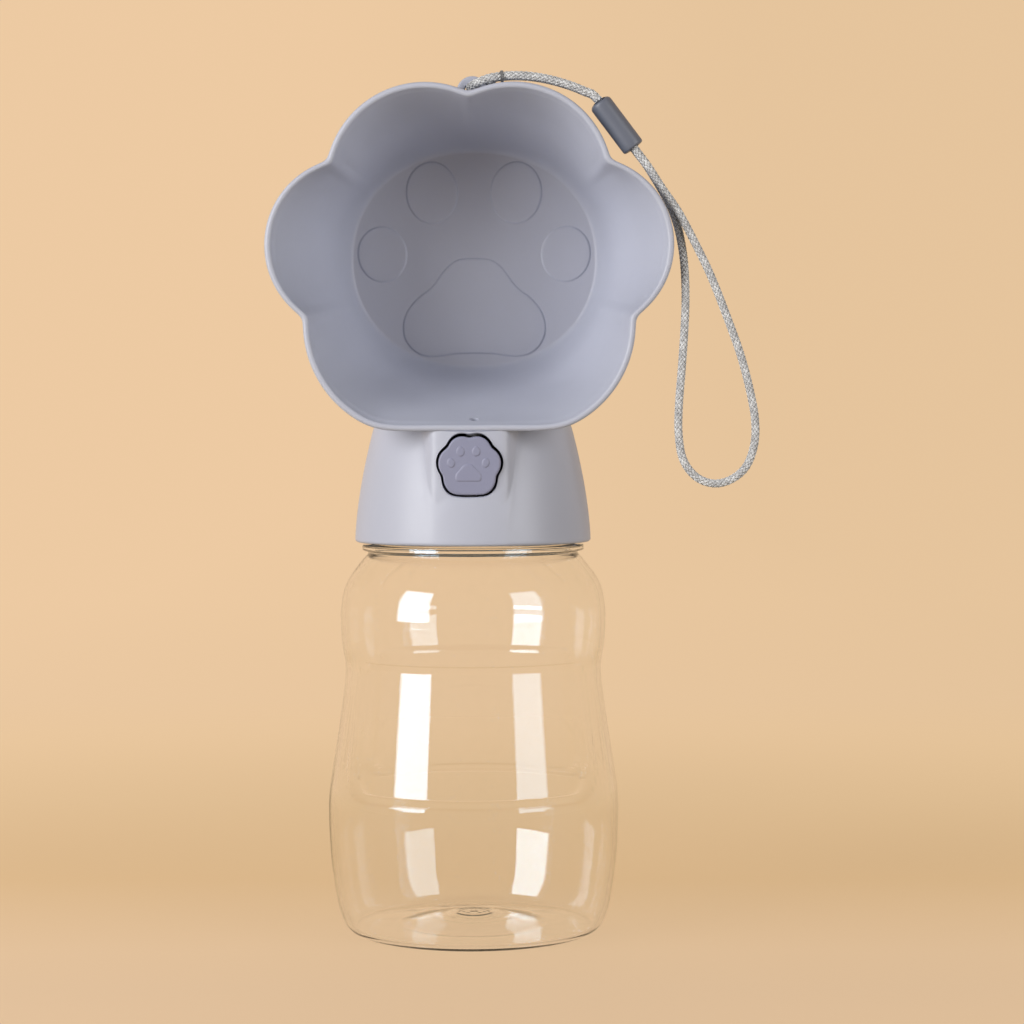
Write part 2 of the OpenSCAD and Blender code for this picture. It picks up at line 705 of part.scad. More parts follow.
// Middle of the cord, in its own round numbers: through the eyelet, over the bowl's edge,
// through the slider, around the hanging loop and back the same way behind the first strand
over_bowl = [
  [7.5, 215.1], [10, 215.3], [14.5, 215.2], [19.5, 214.4], [24.5, 213], [28.5, 211.4],
  [31.4, 209.8], [36.4, 203.1], [41.4, 196.4], [44.2, 192.6]
];
hanging_loop = [
  [47.8, 187, -25.6], [51.5, 181.6, -25.6], [55.2, 174.7, -25.5], [59.4, 166, -25.4],
  [63.3, 156.1, -25.3], [66.8, 146.3, -25.1], [69.2, 137.6, -24.9], [70.6, 130.2, -24.8],
  [70.4, 124, -24.7], [68.2, 118.6, -24.6], [64.5, 115.4, -24.5], [60.1, 114.4, -24.4],
  [55.8, 116.1, -24.3], [52.7, 120.3, -24.2], [51.6, 126.5, -24.1], [51.7, 133.9, -24],
  [52.4, 142.6, -23.9], [53.1, 152.4, -23.8], [53.4, 159.9, -23.7], [53.2, 167.3, -23.6],
  [52.5, 173.4, -23.5], [51.2, 179.1, -23.4], [49, 184.5, -23.4]
];
route = concat(
  [[0.1, -20.9, 212.9], [0.4, -22.4, 213.1], [1.6, -24, 213.6], [3.4, -25.2, 214.2], [5.4, -25.6, 214.8]],
  [for (p = over_bowl) [p[0], front_y, p[1]]],
  [for (p = hanging_loop) [p[0], p[2], p[1]]],
  [for (p = reversed(over_bowl)) [p[0], back_y, p[1]]],
  [[6.4, -22.8, 215], [5.7, -21, 214.7], [4.9, -19.2, 214.1], [3.4, -17.7, 213.4]],
  [[1.8, -17.2, 213], [0.6, -18, 212.9], [0.1, -19.2, 212.9], [0.1, -20.3, 212.9]]
);

function tangent(p, i) = unit(p[min(len(p) - 1, i + 1)] - p[max(0, i - 1)]);
function square_to(u, t) = unit(u - (u * t) * t);

module wrist_cord() {
  sides = 8;
  last = len(route) - 1;
  // Side direction of each ring, carried along so that the tube doesn't twist
  side_dirs = [for (
    i = 0, u = square_to([1, 0, 0], tangent(route, 0));
    i <= last;
    i = i + 1, u = square_to(u, tangent(route, min(i, last)))
  ) u];
  rings = [for (i = [0:last]) let (u = side_dirs[i], v = cross(tangent(route, i), u))
    [for (k = [0:sides - 1]) let (a = 360 * k / sides) route[i] + cord_d / 2 * (u * cos(a) + v * sin(a))]];
  color([0.8, 0.8, 0.82]) skin(rings, route[0], route[last]);
}

// Slot for two strands, one behind the other, as a straight hole along +Z
module strand_slot(r, h) {
  for (side = [-1, 1]) translate([0, side * strand_gap / 2, 0]) cylinder(r = r, h = h, $fn = 48);
  translate([-r, -strand_gap / 2, 0]) cube([2 * r, strand_gap, h]);
}

slider_top = [31.4, 209.8];
slider_low = [41.4, 196.4];
slider_lean = atan2(slider_low[0] - slider_top[0], slider_low[1] - slider_top[1]);
slider_middle = (slider_top + slider_low) / 2;

module cord_slider() {
  slot_r = cord_d / 2 + slider_gap;
  color([0.4, 0.41, 0.45]) translate([slider_middle[0], front_y + strand_gap / 2, slider_middle[1]])
    rotate([0, slider_lean, 0]) difference() {
      translate([0, 0, -slider_l / 2]) rotate_extrude($fn = 48) polygon([
        [0, 0], [slider_r - 1, 0], [slider_r - 0.3, 0.3], [slider_r, 1],
        [slider_r, slider_l - 0.3], [slider_r - 0.3, slider_l], [0, slider_l]
      ]);
      translate([0, 0, -slider_l / 2 - over]) strand_slot(slot_r, slider_l + 2 * over);
    }
}

binding_middle = [8.8, 215.2];
binding_lean = 85;

module cord_binding() {
  slot_r = cord_d / 2 + glue_gap;
  color("whitesmoke") translate([binding_middle[0], front_y + strand_gap / 2, binding_middle[1]])
    rotate([0, binding_lean, 0]) translate([0, 0, -binding_l / 2]) difference() {
      strand_slot(slot_r + binding_t, binding_l);
      translate([0, 0, -over]) strand_slot(slot_r, binding_l + 2 * over);
    }
}

bottle();
neck_seal();
thread_insert();
collar();
bowl();
button();
plunger();
front_o_ring();
seat_washer();
return_spring();
valve_body();
valve_plug();
plug_o_ring();
outlet_seal();
wrist_cord();
cord_slider();
cord_binding();
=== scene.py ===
from math import cos, hypot, pi, radians, sin, sqrt

import bmesh
import bpy
from mathutils import Matrix, Vector


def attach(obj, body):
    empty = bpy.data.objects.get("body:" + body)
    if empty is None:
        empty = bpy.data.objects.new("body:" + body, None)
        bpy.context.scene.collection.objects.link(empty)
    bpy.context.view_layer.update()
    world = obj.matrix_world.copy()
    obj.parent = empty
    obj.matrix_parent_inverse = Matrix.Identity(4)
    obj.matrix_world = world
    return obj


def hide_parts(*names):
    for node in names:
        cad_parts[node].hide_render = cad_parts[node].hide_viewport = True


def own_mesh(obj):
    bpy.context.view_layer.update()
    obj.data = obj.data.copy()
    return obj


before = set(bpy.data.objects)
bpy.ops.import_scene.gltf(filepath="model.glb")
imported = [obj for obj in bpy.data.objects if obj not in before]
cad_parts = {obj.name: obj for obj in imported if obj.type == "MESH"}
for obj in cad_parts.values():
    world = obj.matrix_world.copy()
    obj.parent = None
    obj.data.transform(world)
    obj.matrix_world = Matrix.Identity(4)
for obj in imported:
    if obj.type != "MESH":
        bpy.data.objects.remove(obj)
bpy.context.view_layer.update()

mm = 0.001

cameraView = {
    "place": (18.7, -650.0, 128.0),  # mm
    "turn": 0.76,  # degrees to the left
    "roll": -0.15,
    "drop": 0.0811,  # keeps the camera level with the horizon above the middle
    "focal": 88.95,
    "sensor": 36.0,
}


def placed(name, data):
    made = bpy.data.objects.new(name, data)
    bpy.context.scene.collection.objects.link(made)
    return made


def makeCamera(view):
    lens = bpy.data.cameras.new("camera")
    lens.lens = view["focal"]
    lens.sensor_width = view["sensor"]
    lens.shift_y = -view["drop"]
    lens.clip_start, lens.clip_end = 0.05, 50
    camera = placed("camera", lens)
    camera.location = Vector(view["place"]) * mm
    aim = Matrix.Rotation(radians(view["turn"]), 4, "Z") @ Matrix.Rotation(radians(90), 4, "X")
    camera.rotation_euler = (aim @ Matrix.Rotation(radians(view["roll"]), 4, "Z")).to_euler()
    bpy.context.scene.camera = camera


makeCamera(cameraView)
bpy.context.scene.view_settings.view_transform = "Standard"
print("stage: camera")


class Wire:  # an output socket that takes part in sums
    def __init__(self, board, socket):
        self.board = board
        self.socket = socket

    def sum(self, operation, first, second=0.0):
        return self.board.node("ShaderNodeMath", {0: first, 1: second}, operation=operation)

    def __add__(self, other):
        return self.sum("ADD", self, other)

    def __sub__(self, other):
        return self.sum("SUBTRACT", self, other)

    def __rsub__(self, other):
        return self.sum("SUBTRACT", other, self)

    def __mul__(self, other):
        return self.sum("MULTIPLY", self, other)

    def __truediv__(self, other):
        return self.sum("DIVIDE", self, other)

    def __rtruediv__(self, other):
        return self.sum("DIVIDE", other, self)

    __radd__ = __add__
    __rmul__ = __mul__

    def limited(self):
        return self.board.node("ShaderNodeClamp", {0: self})


class Board:  # a node tree with one way to add a node
    def __init__(self, tree):
        self.tree = tree

    def feed(self, socket, value):
        if isinstance(value, Wire):
            self.tree.links.new(value.socket, socket)
        elif isinstance(value, (tuple, list)) and len(value) == 3 and socket.type == "RGBA":
            socket.default_value = (*value, 1.0)
        else:
            socket.default_value = value

    def node(self, kind, sockets=None, out=0, **settings):
        made = self.tree.nodes.new(kind)
        for name, value in settings.items():
            if name == "stops":
                ramp = made.color_ramp
                while len(ramp.elements) < len(value):
                    ramp.elements.new(0.5)
                for element, (place, colour) in zip(ramp.elements, value):
                    element.position = place
                    element.color = (*colour, 1.0)
            else:
                setattr(made, name, value)
        for name, value in (sockets or {}).items():
            self.feed(made.inputs[name], value)
        return Wire(self, made.outputs[out])

    def mixColour(self, factor, first, second, how="MIX"):
        return self.node(
            "ShaderNodeMix", {0: factor, 6: first, 7: second}, 2, data_type="RGBA", blend_type=how)

    def vector(self, operation, first, second=None):
        sockets = {0: first} if second is None else {0: first, 1: second}
        return self.node("ShaderNodeVectorMath", sockets, int(operation == "LENGTH"), operation=operation)

    def scaled(self, vector, amount):
        return self.node("ShaderNodeVectorMath", {0: vector, "Scale": amount}, operation="SCALE")

    def noise(self, where, scale, detail=2.0, rough=0.5):
        return self.node(
            "ShaderNodeTexNoise", {"Vector": where, "Scale": scale, "Detail": detail, "Roughness": rough})

    def bump(self, height, strength, distance):
        return self.node("ShaderNodeBump", {"Strength": strength, "Distance": distance, "Height": height})

    def principled(self, sockets):
        return self.node("ShaderNodeBsdfPrincipled", sockets)

    def mixShader(self, share, first, second):
        return self.node("ShaderNodeMixShader", {0: share, 1: first, 2: second})

    def ray(self, name):
        return self.node("ShaderNodeLightPath", out=name)


def newMaterial(name):
    material = bpy.data.materials.new(name)
    material.use_nodes = True
    material.node_tree.nodes.clear()
    board = Board(material.node_tree)
    return material, board, board.node("ShaderNodeTexCoord", out=3)  # 3 is the place on the object


def finishMaterial(material, board, shader):
    end = board.tree.nodes.new("ShaderNodeOutputMaterial")
    board.feed(end.inputs["Surface"], shader)
    return material


mouldedFinish = {
    "grain": 2600.0,  # fine eroded texture of the mould
    "grainDepth": 0.00002,
    "cloud": 45.0,  # slow drift of the tone
    "cloudShare": 0.05,
    "scuff": 260.0,
}


def mouldedPlastic(name, colour, rough=0.42, grainDepth=1.0, specular=0.45):
    material, board, where = newMaterial(name)
    cloud = board.noise(where, mouldedFinish["cloud"], 3.0)
    scuff = board.noise(where, mouldedFinish["scuff"], 4.0, 0.65)
    grain = board.noise(where, mouldedFinish["grain"], 2.0, 0.6)
    dark = tuple(v * (1 - mouldedFinish["cloudShare"]) for v in colour)
    light = tuple(min(1.0, v * (1 + mouldedFinish["cloudShare"])) for v in colour)
    return finishMaterial(material, board, board.principled({
        "Base Color": board.mixColour(cloud * 0.7 + grain * 0.3, dark, light),
        "Roughness": (rough - 0.06) + scuff * 0.12,
        "Specular IOR Level": specular,
        "Normal": board.bump(grain, 0.35, mouldedFinish["grainDepth"] * grainDepth),
    }))


clearFinish = {
    "ripple": 120.0,  # long waves that run up the wall
    "rippleStretch": (1.0, 1.0, 0.15),
    "rippleDepth": 0.0002,
    "haze": 400.0,
    "hazeRough": 0.02,
    "dark": (0.955, 0.955, 0.95),
    "light": (0.985, 0.985, 0.985),
    "bending": 1.5,
    "shine": (0.52, 0.78, 1.0, 1.0),  # cool, so a highlight over warm paper comes out white
    "letThrough": (0.95, 0.95, 0.95),
}


def clearPlastic(name, finish):
    material, board, where = newMaterial(name)
    stretched = board.vector("MULTIPLY", where, finish["rippleStretch"])
    ripple = board.noise(stretched, finish["ripple"], 1.0, 0.4)
    haze = board.noise(where, finish["haze"], 3.0, 0.6)
    glass = board.principled({
        "Base Color": board.mixColour(haze, finish["dark"], finish["light"]),
        "Roughness": haze * finish["hazeRough"],
        "IOR": finish["bending"],
        "Specular Tint": finish["shine"],
        "Transmission Weight": 1.0,
        "Normal": board.bump(ripple, 0.12, finish["rippleDepth"]),
    })
    letThrough = board.node("ShaderNodeBsdfTransparent", {"Color": finish["letThrough"]})
    # shadows and light off the floor pass straight through
    straight = (board.ray("Is Shadow Ray") + board.ray("Diffuse Depth")).limited()
    return finishMaterial(material, board, board.mixShader(straight, glass, letThrough))


sealFinish = {"dark": 0.9, "light": 1.08, "dustRough": 0.1, "dustDepth": 0.00003}


def sealMaterial(name, colour, rough, speck):
    material, board, where = newMaterial(name)
    dust = board.noise(where, speck, 4.0, 0.7)
    dark, light = (tuple(min(1, v * sealFinish[tone]) for v in colour) for tone in ("dark", "light"))
    return finishMaterial(material, board, board.principled({
        "Base Color": board.mixColour(dust, dark, light),
        "Roughness": (rough - 0.05) + dust * sealFinish["dustRough"],
        "Normal": board.bump(dust, 0.2, sealFinish["dustDepth"]),
    }))


wireFinish = {
    "lines": 900.0,  # fine lines from drawing the wire
    "stretch": (1.0, 14.0, 1.0),
    "dark": (0.42, 0.42, 0.43),
    "light": (0.66, 0.66, 0.66),
    "rough": 0.22,
    "lineRough": 0.18,
}


def drawnWire(name, finish):
    material, board, where = newMaterial(name)
    lines = board.noise(board.vector("MULTIPLY", where, finish["stretch"]), finish["lines"], 3.0, 0.6)
    return finishMaterial(material, board, board.principled({
        "Base Color": board.mixColour(lines, finish["dark"], finish["light"]),
        "Metallic": 1.0,
        "Roughness": finish["rough"] + lines * finish["lineRough"],
    }))


yarnFinish = {
    "fibre": 5200.0,
    "fleck": 900.0,
    "mix": (0.45, 0.75, 0.3, -0.25),  # shares of strand, fleck and fibre in the tone, and its start
    "sheen": 0.25,
    "fibreDepth": 0.00004,
}


def yarn(name, light, dark, rough=0.8):
    material, board, where = newMaterial(name)
    tone = board.node("ShaderNodeAttribute", out="Fac", attribute_name="tone")
    fibre = board.noise(where, yarnFinish["fibre"], 2.0, 0.7)
    fleck = board.noise(where, yarnFinish["fleck"], 3.0, 0.7)
    strandShare, fleckShare, fibreShare, start = yarnFinish["mix"]
    share = (tone * strandShare + fleck * fleckShare + fibre * fibreShare + start).limited()
    return finishMaterial(material, board, board.principled({
        "Base Color": board.mixColour(share, dark, light),
        "Roughness": rough - fibre * 0.15,
        "Sheen Weight": yarnFinish["sheen"],
        "Sheen Roughness": 0.5,
        "Normal": board.bump(fibre, 0.5, yarnFinish["fibreDepth"]),
    }))


greyPlastic = mouldedPlastic("lavender_grey_plastic", (0.465, 0.482, 0.57))
buttonPlastic = mouldedPlastic("button_plastic", (0.262, 0.27, 0.38), 0.45, 1.6)
sliderPlastic = mouldedPlastic("slider_plastic", (0.129, 0.145, 0.19), 0.4)
innerPlastic = mouldedPlastic("inner_plastic", (0.72, 0.72, 0.7), 0.35)
insertPlastic = mouldedPlastic("insert_plastic", (0.5, 0.51, 0.57), 0.4)
bottlePlastic = clearPlastic("clear_bottle_plastic", clearFinish)
siliconeSeal = sealMaterial("milky_silicone", (0.8, 0.8, 0.8), 0.55, 900.0)
rubberSeal = sealMaterial("black_rubber", (0.03, 0.03, 0.032), 0.6, 1200.0)
springWire = drawnWire("spring_wire", wireFinish)
cordYarn = yarn("braided_yarn", (0.86, 0.86, 0.86), (0.32, 0.32, 0.33))
# near-black core seen in the gaps between the braid's strands: painted shade for the shadow between the
# strands
coreShadeYarn = yarn("cord_core", (0.10, 0.10, 0.11), (0.04, 0.04, 0.045), 0.9)
bindingThread = yarn("binding_thread", (0.3, 0.3, 0.31), (0.1, 0.1, 0.105))
print("stage: materials")


def lerp(a, b, t):
    return a + (b - a) * t


def clampUnit(t):
    return max(0.0, min(1.0, t))


def easeInOut(t):
    t = clampUnit(t)
    return t * t * (3 - 2 * t)


def fullTurn(count, start=0.0):
    return [2 * pi * (k + start) / count for k in range(count)]


def arc(middle, radius, first, last, step):
    # points round a corner of a section, in degrees from outwards towards upwards
    return [(middle[0] + radius * cos(radians(a)), middle[1] + radius * sin(radians(a)))
            for a in range(first, last + 1, step)]


def innerPoint(profile, k, wall):
    # a point of a profile moved in by the wall, square to the profile
    before, after = profile[k - 1], profile[k + 1]
    dr, dz = after[0] - before[0], after[1] - before[1]
    long = hypot(dr, dz)
    return profile[k][0] - dz / long * wall, profile[k][1] + dr / long * wall


def smoothPath(points, steps, closed=False):
    # Catmull-Rom curve through the points
    count = len(points)
    made = []
    for i in range(count if closed else count - 1):
        near = (i + k for k in (-1, 0, 1, 2))
        a, b, c, d = (Vector(points[n % count if closed else max(0, min(count - 1, n))]) for n in near)
        for t in (k / steps for k in range(steps)):
            made.append((2 * b + (c - a) * t + (2 * a - 5 * b + 4 * c - d) * t * t
                         + (3 * b - a - 3 * c + d) * t ** 3) / 2)
    return made if closed else made + [Vector(points[-1])]


def spaced(points, gap):
    # the same line with points a fixed distance apart
    made = [points[0].copy()]
    left = gap
    for a, b in zip(points, points[1:]):
        long = (b - a).length
        done = 0.0
        while long - done >= left:
            done += left
            made.append(a.lerp(b, done / long))
            left = gap
        left -= long - done
    return made


def linkPiece(name, mesh, material, body=None, sharp=None):
    for polygon in mesh.polygons:
        polygon.use_smooth = True
    if sharp:
        mesh.set_sharp_from_angle(angle=radians(sharp))
    piece = placed(name, mesh)
    if material:
        mesh.materials.clear()
        mesh.materials.append(material)
    if body:
        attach(piece, body)
    return piece


def meshOfRings(name, rings, first=None, last=None, loop=False):
    # a skin over closed rings of points in mm, closed by a point at each end or by its own loop
    count = len(rings[0])
    points = [Vector(p) * mm for ring in rings for p in ring]
    faces = []
    pairs = list(zip(range(len(rings) - 1), range(1, len(rings))))
    if loop:
        pairs.append((len(rings) - 1, 0))
    for a, b in pairs:
        for k in range(count):
            n = (k + 1) % count
            faces.append((a * count + k, a * count + n, b * count + n, b * count + k))
    for pole, ring in ((first, 0), (last, len(rings) - 1)):
        if pole is not None:
            points.append(Vector(pole) * mm)
            for k in range(count):
                faces.append((len(points) - 1, ring * count + k, ring * count + (k + 1) % count))
    mesh = bpy.data.meshes.new(name)
    mesh.from_pydata(points, [], faces)
    facesOut(mesh)
    return mesh


def facesOut(mesh):
    work = bmesh.new()
    work.from_mesh(mesh)
    bmesh.ops.remove_doubles(work, verts=work.verts, dist=1e-7)
    bmesh.ops.recalc_face_normals(work, faces=work.faces)
    if work.calc_volume(signed=True) < 0:
        bmesh.ops.reverse_faces(work, faces=work.faces)
    work.to_mesh(mesh)
    work.free()


def finishedMesh(piece):
    # the mesh with its modifiers worked in
    view = bpy.context.evaluated_depsgraph_get()
    return bpy.data.meshes.new_from_object(piece.evaluated_get(view))


def cutAway(piece, cutters):
    for cutter in cutters:
        tool = placed("cutter", cutter)
        modifier = piece.modifiers.new("cut", "BOOLEAN")
        modifier.operation = "DIFFERENCE"
        modifier.solver = "EXACT"
        modifier.object = tool
        cut = finishedMesh(piece)
        piece.modifiers.remove(modifier)
        piece.data = cut
        bpy.data.objects.remove(tool)


def newTree(name, inputs):
    tree = bpy.data.node_groups.new(name, "GeometryNodeTree")
    tree.interface.new_socket("Geometry", in_out="INPUT", socket_type="NodeSocketGeometry")
    for label, kind in inputs:
        tree.interface.new_socket(label, in_out="INPUT", socket_type="NodeSocket" + kind)
    tree.interface.new_socket("Geometry", in_out="OUTPUT", socket_type="NodeSocketGeometry")
    board = Board(tree)
    start = tree.nodes.new("NodeGroupInput")
    return tree, board, {socket.name: Wire(board, socket) for socket in start.outputs if socket.name}


def closeTree(tree, board, line, section, material):
    # draws the section along the line
    skin = board.node(
        "GeometryNodeCurveToMesh", {"Curve": line, "Profile Curve": section, "Fill Caps": True})
    whole = board.node("GeometryNodeRealizeInstances", {"Geometry": skin})
    whole = board.node("GeometryNodeSetMaterial", {"Geometry": whole, "Material": material})
    board.feed(tree.nodes.new("NodeGroupOutput").inputs[0], whole)
    return tree


def braidTree():
    kinds = {"carriers": "Int", "seed": "Int", "material": "Material"}
    tree, board, given = newTree("braid_along_line", [
        (name, kinds.get(name, "Float")) for name in (
            "step", "carriers", "middleRadius", "weave", "pitch", "strandWidth", "strandThickness",
            "seed", "material")])
    line = board.node("GeometryNodeMeshToCurve", {"Mesh": given["Geometry"]})
    line = board.node("GeometryNodeResampleCurve", {"Curve": line, "Length": given["step"]}, mode="LENGTH")
    copied = tree.nodes.new("GeometryNodeDuplicateElements")
    copied.domain = "SPLINE"
    board.feed(copied.inputs["Geometry"], line)
    board.feed(copied.inputs["Amount"], given["carriers"])
    strands, index = Wire(board, copied.outputs[0]), Wire(board, copied.outputs[1])
    way = 1 - 2 * index.sum("MODULO", index, 2.0)  # half of the carriers run each way round
    along = board.node("GeometryNodeSplineParameter", out="Length")
    turn = along * (2 * pi) / given["pitch"]
    angle = turn * way + index.sum("FLOOR", index / 2.0) * (4 * pi) / given["carriers"]
    lift = given["weave"] * way * turn.sum("COSINE", turn * given["carriers"] / 2.0)
    radius = given["middleRadius"] + lift
    normal = board.node("GeometryNodeInputNormal")
    tangent = board.node("GeometryNodeInputTangent")
    across = board.vector("CROSS_PRODUCT", tangent, normal)
    cosine, sine = (angle.sum(operation, angle) for operation in ("COSINE", "SINE"))
    outwards = board.vector("ADD", board.scaled(normal, cosine), board.scaled(across, sine))
    kept = tree.nodes.new("GeometryNodeCaptureAttribute")
    kept.capture_items.new("VECTOR", "Outwards")
    board.feed(kept.inputs["Geometry"], strands)
    board.feed(kept.inputs["Outwards"], outwards)
    held, heldOut = Wire(board, kept.outputs["Geometry"]), Wire(board, kept.outputs["Outwards"])
    moved = board.node(
        "GeometryNodeSetPosition", {"Geometry": held, "Offset": board.scaled(outwards, radius)})
    faced = board.node("GeometryNodeSetCurveNormal", {"Curve": moved, "Normal": heldOut}, mode="FREE")
    tone = board.node(
        "FunctionNodeRandomValue", {"Min": 0.0, "Max": 1.0, "ID": index, "Seed": given["seed"]}, 1,
        data_type="FLOAT")
    toned = board.node(
        "GeometryNodeStoreNamedAttribute", {"Geometry": faced, "Name": "tone", "Value": tone},
        data_type="FLOAT", domain="CURVE")
    section = board.node("GeometryNodeCurvePrimitiveCircle", {"Resolution": 4, "Radius": 1.0})
    size = board.node(
        "ShaderNodeCombineXYZ",
        {0: given["strandThickness"], 1: given["strandWidth"], 2: 1.0})
    section = board.node("GeometryNodeTransform", {"Geometry": section, "Scale": size})
    return closeTree(tree, board, toned, section, given["material"])


def threadTree():
    tree, board, given = newTree("thread_along_line", [
        ("radius", "Float"), ("sides", "Int"), ("material", "Material")])
    line = board.node("GeometryNodeMeshToCurve", {"Mesh": given["Geometry"]})
    section = board.node(
        "GeometryNodeCurvePrimitiveCircle", {"Resolution": given["sides"], "Radius": given["radius"]})
    return closeTree(tree, board, line, section, given["material"])


def grownAlong(name, points, tree, values):
    # runs a tree on a line of points in metres and keeps the plain mesh
    line = bpy.data.meshes.new(name)
    line.from_pydata(points, [(i, i + 1) for i in range(len(points) - 1)], [])
    carrier = placed(name + "_line", line)
    modifier = carrier.modifiers.new("grow", "NODES")
    modifier.node_group = tree
    for socket in tree.interface.items_tree:
        if socket.in_out == "INPUT" and socket.name in values:
            modifier[socket.identifier] = values[socket.name]
    mesh = finishedMesh(carrier)
    bpy.data.objects.remove(carrier)
    facesOut(mesh)
    return mesh


def grownThread(name, points, radius, sides, material):
    values = {"radius": radius * mm, "sides": sides, "material": material}
    return grownAlong(name, points, threadTree(), values)


wristCord = {
    "diameter": 2.1,  # mm, as are all lengths here
    "carriers": 12,
    "pitch": 7.2,
    "step": 0.16,
    "middleRadius": 0.83,
    "weave": 0.1,
    "strandWidth": 0.36,  # half width and half thickness of one flat strand
    "strandThickness": 0.13,
    "coreRadius": 0.74,
    "pointGap": 0.6,  # along the line that the braid follows
    "seed": 7,
    "frontY": -25.6,  # the strand in front and the one behind it, over the bowl
    "backY": -23.4,
    "start": [(0.1, -20.9, 212.9), (0.4, -22.4, 213.1), (1.6, -24.0, 213.6), (3.4, -25.2, 214.2),
              (5.4, -25.6, 214.8)],
    "overBowl": [(7.5, 215.1), (10.0, 215.3), (14.5, 215.2), (19.5, 214.4), (24.5, 213.0), (28.5, 211.4),
                 (31.4, 209.8), (36.4, 203.1), (41.4, 196.4), (44.2, 192.6)],
    "hanging": [(47.8, 187.0, -25.6), (51.5, 181.6, -25.6), (55.2, 174.7, -25.5), (59.4, 166.0, -25.4),
                (63.3, 156.1, -25.3), (66.8, 146.3, -25.1), (69.1, 137.6, -24.9), (70.4, 130.2, -24.8),
                (70.2, 124.0, -24.7), (68.2, 118.6, -24.6), (64.5, 115.4, -24.5), (60.1, 114.4, -24.4),
                (55.8, 116.1, -24.3), (52.7, 120.3, -24.2), (51.6, 126.5, -24.1), (51.7, 133.9, -24.0),
                (52.4, 142.6, -23.9), (53.1, 152.4, -23.8), (53.4, 159.9, -23.7), (53.2, 167.3, -23.6),
                (52.5, 173.4, -23.5), (51.2, 179.1, -23.4), (49.0, 184.5, -23.4)],
    "end": [(6.4, -22.8, 215.0), (5.7, -21.0, 214.7), (4.9, -19.2, 214.1), (3.4, -17.7, 213.4),
            (1.8, -17.2, 213.0), (0.6, -18.0, 212.9), (0.1, -19.2, 212.9), (0.1, -20.3, 212.9)],
}


def cordRoute(cord):
    route = list(cord["start"])
    route += [(x, cord["frontY"], z) for x, z in cord["overBowl"]]
    route += [(x, y, z) for x, z, y in cord["hanging"]]
    route += [(x, cord["backY"], z) for x, z in reversed(cord["overBowl"])]
    return route + cord["end"]


def makeCord(cord):
    line = spaced([p * mm for p in smoothPath(cordRoute(cord), 10)], cord["pointGap"] * mm)
    values = {name: cord[name] * mm for name in
              ("step", "middleRadius", "weave", "pitch", "strandWidth", "strandThickness")}
    values.update(carriers=cord["carriers"], seed=cord["seed"], material=cordYarn)
    braid = linkPiece(
        "cord_braid", grownAlong("cord_braid", line, braidTree(), values), cordYarn, "head")
    # a dark core under the braid so the gaps between strands read dark: painted shade
    core = grownThread("cord_core", line, cord["coreRadius"], 10, coreShadeYarn)
    linkPiece("cord_core", core, coreShadeYarn, "head")
    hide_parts("wrist_cord")
    path = line[::4] + [line[-1]]
    long = sum((b - a).length for a, b in zip(path, path[1:]))
    print("stage: cord", round(long, 4), "m,", len(braid.data.polygons), "faces")
    return braid, path


cordBraid, cordPath = makeCord(wristCord)

cordSlider = {
    "middle": (36.4, -24.5, 203.1),
    "down": (0.598, 0.0, -0.801),
    "length": 14.4,
    "radius": 2.85,
    "slotRadius": 1.2,
    "slotHalf": 1.1,  # from the middle to either strand
    "mouth": [(0.3, 0.0), (0.08, 0.08), (0.0, 0.35)],  # how far the slot opens, and how deep, at its foot
    "entry": [(0.0, 0.5), (0.12, 0.12), (0.5, 0.0)],  # the same at its top
    "topRound": 1.2,
    "footRound": 0.6,
    "sides": 64,
}


def slotPoint(turn, radius, half):
    # a point on a slot with round ends that runs from front to back
    side = 1 if sin(turn) >= 0 else -1
    return radius * cos(turn), radius * sin(turn) + side * half


def makeSlider(part):
    down = Vector(part["down"]).normalized()
    depth = Vector((0, 1, 0))
    across = depth.cross(down)
    middle = Vector(part["middle"])
    half, radius = part["length"] / 2, part["radius"]
    topRound, footRound = part["topRound"], part["footRound"]
    profile = [(radius - topRound, -half)]
    profile += arc((radius - topRound, topRound - half), topRound, -75, 0, 15)
    profile += [(radius, lerp(topRound - half, half - footRound, k / 12)) for k in range(1, 13)]
    profile += arc((radius - footRound, half - footRound), footRound, 30, 90, 30)
    rings = [[middle + down * along + across * (reach * cos(t)) + depth * (reach * sin(t))
              for t in fullTurn(part["sides"])] for reach, along in profile]
    slot = [(grow, half - deep) for grow, deep in part["mouth"]]
    slot += [(grow, deep - half) for grow, deep in part["entry"]]
    for grow, along in slot:
        edge = (slotPoint(t, part["slotRadius"] + grow, part["slotHalf"])
                for t in fullTurn(part["sides"], 0.5))
        rings.append([middle + down * along + across * u + depth * v for u, v in edge])
    mesh = meshOfRings("cord_slider_barrel", rings, loop=True)
    piece = linkPiece("cord_slider_barrel", mesh, sliderPlastic, "slider", 40)
    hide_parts("cord_slider")
    return piece


cordBinding = {
    "middle": (8.1, -24.5, 215.15),
    "lean": 85.0,  # degrees from upright
    "length": 1.0,
    "threadRadius": 0.14,
    "wraps": 4,
    "steps": 44,  # points for each turn of the thread
    "cordRadius": 1.08,
    "half": 1.1,
}


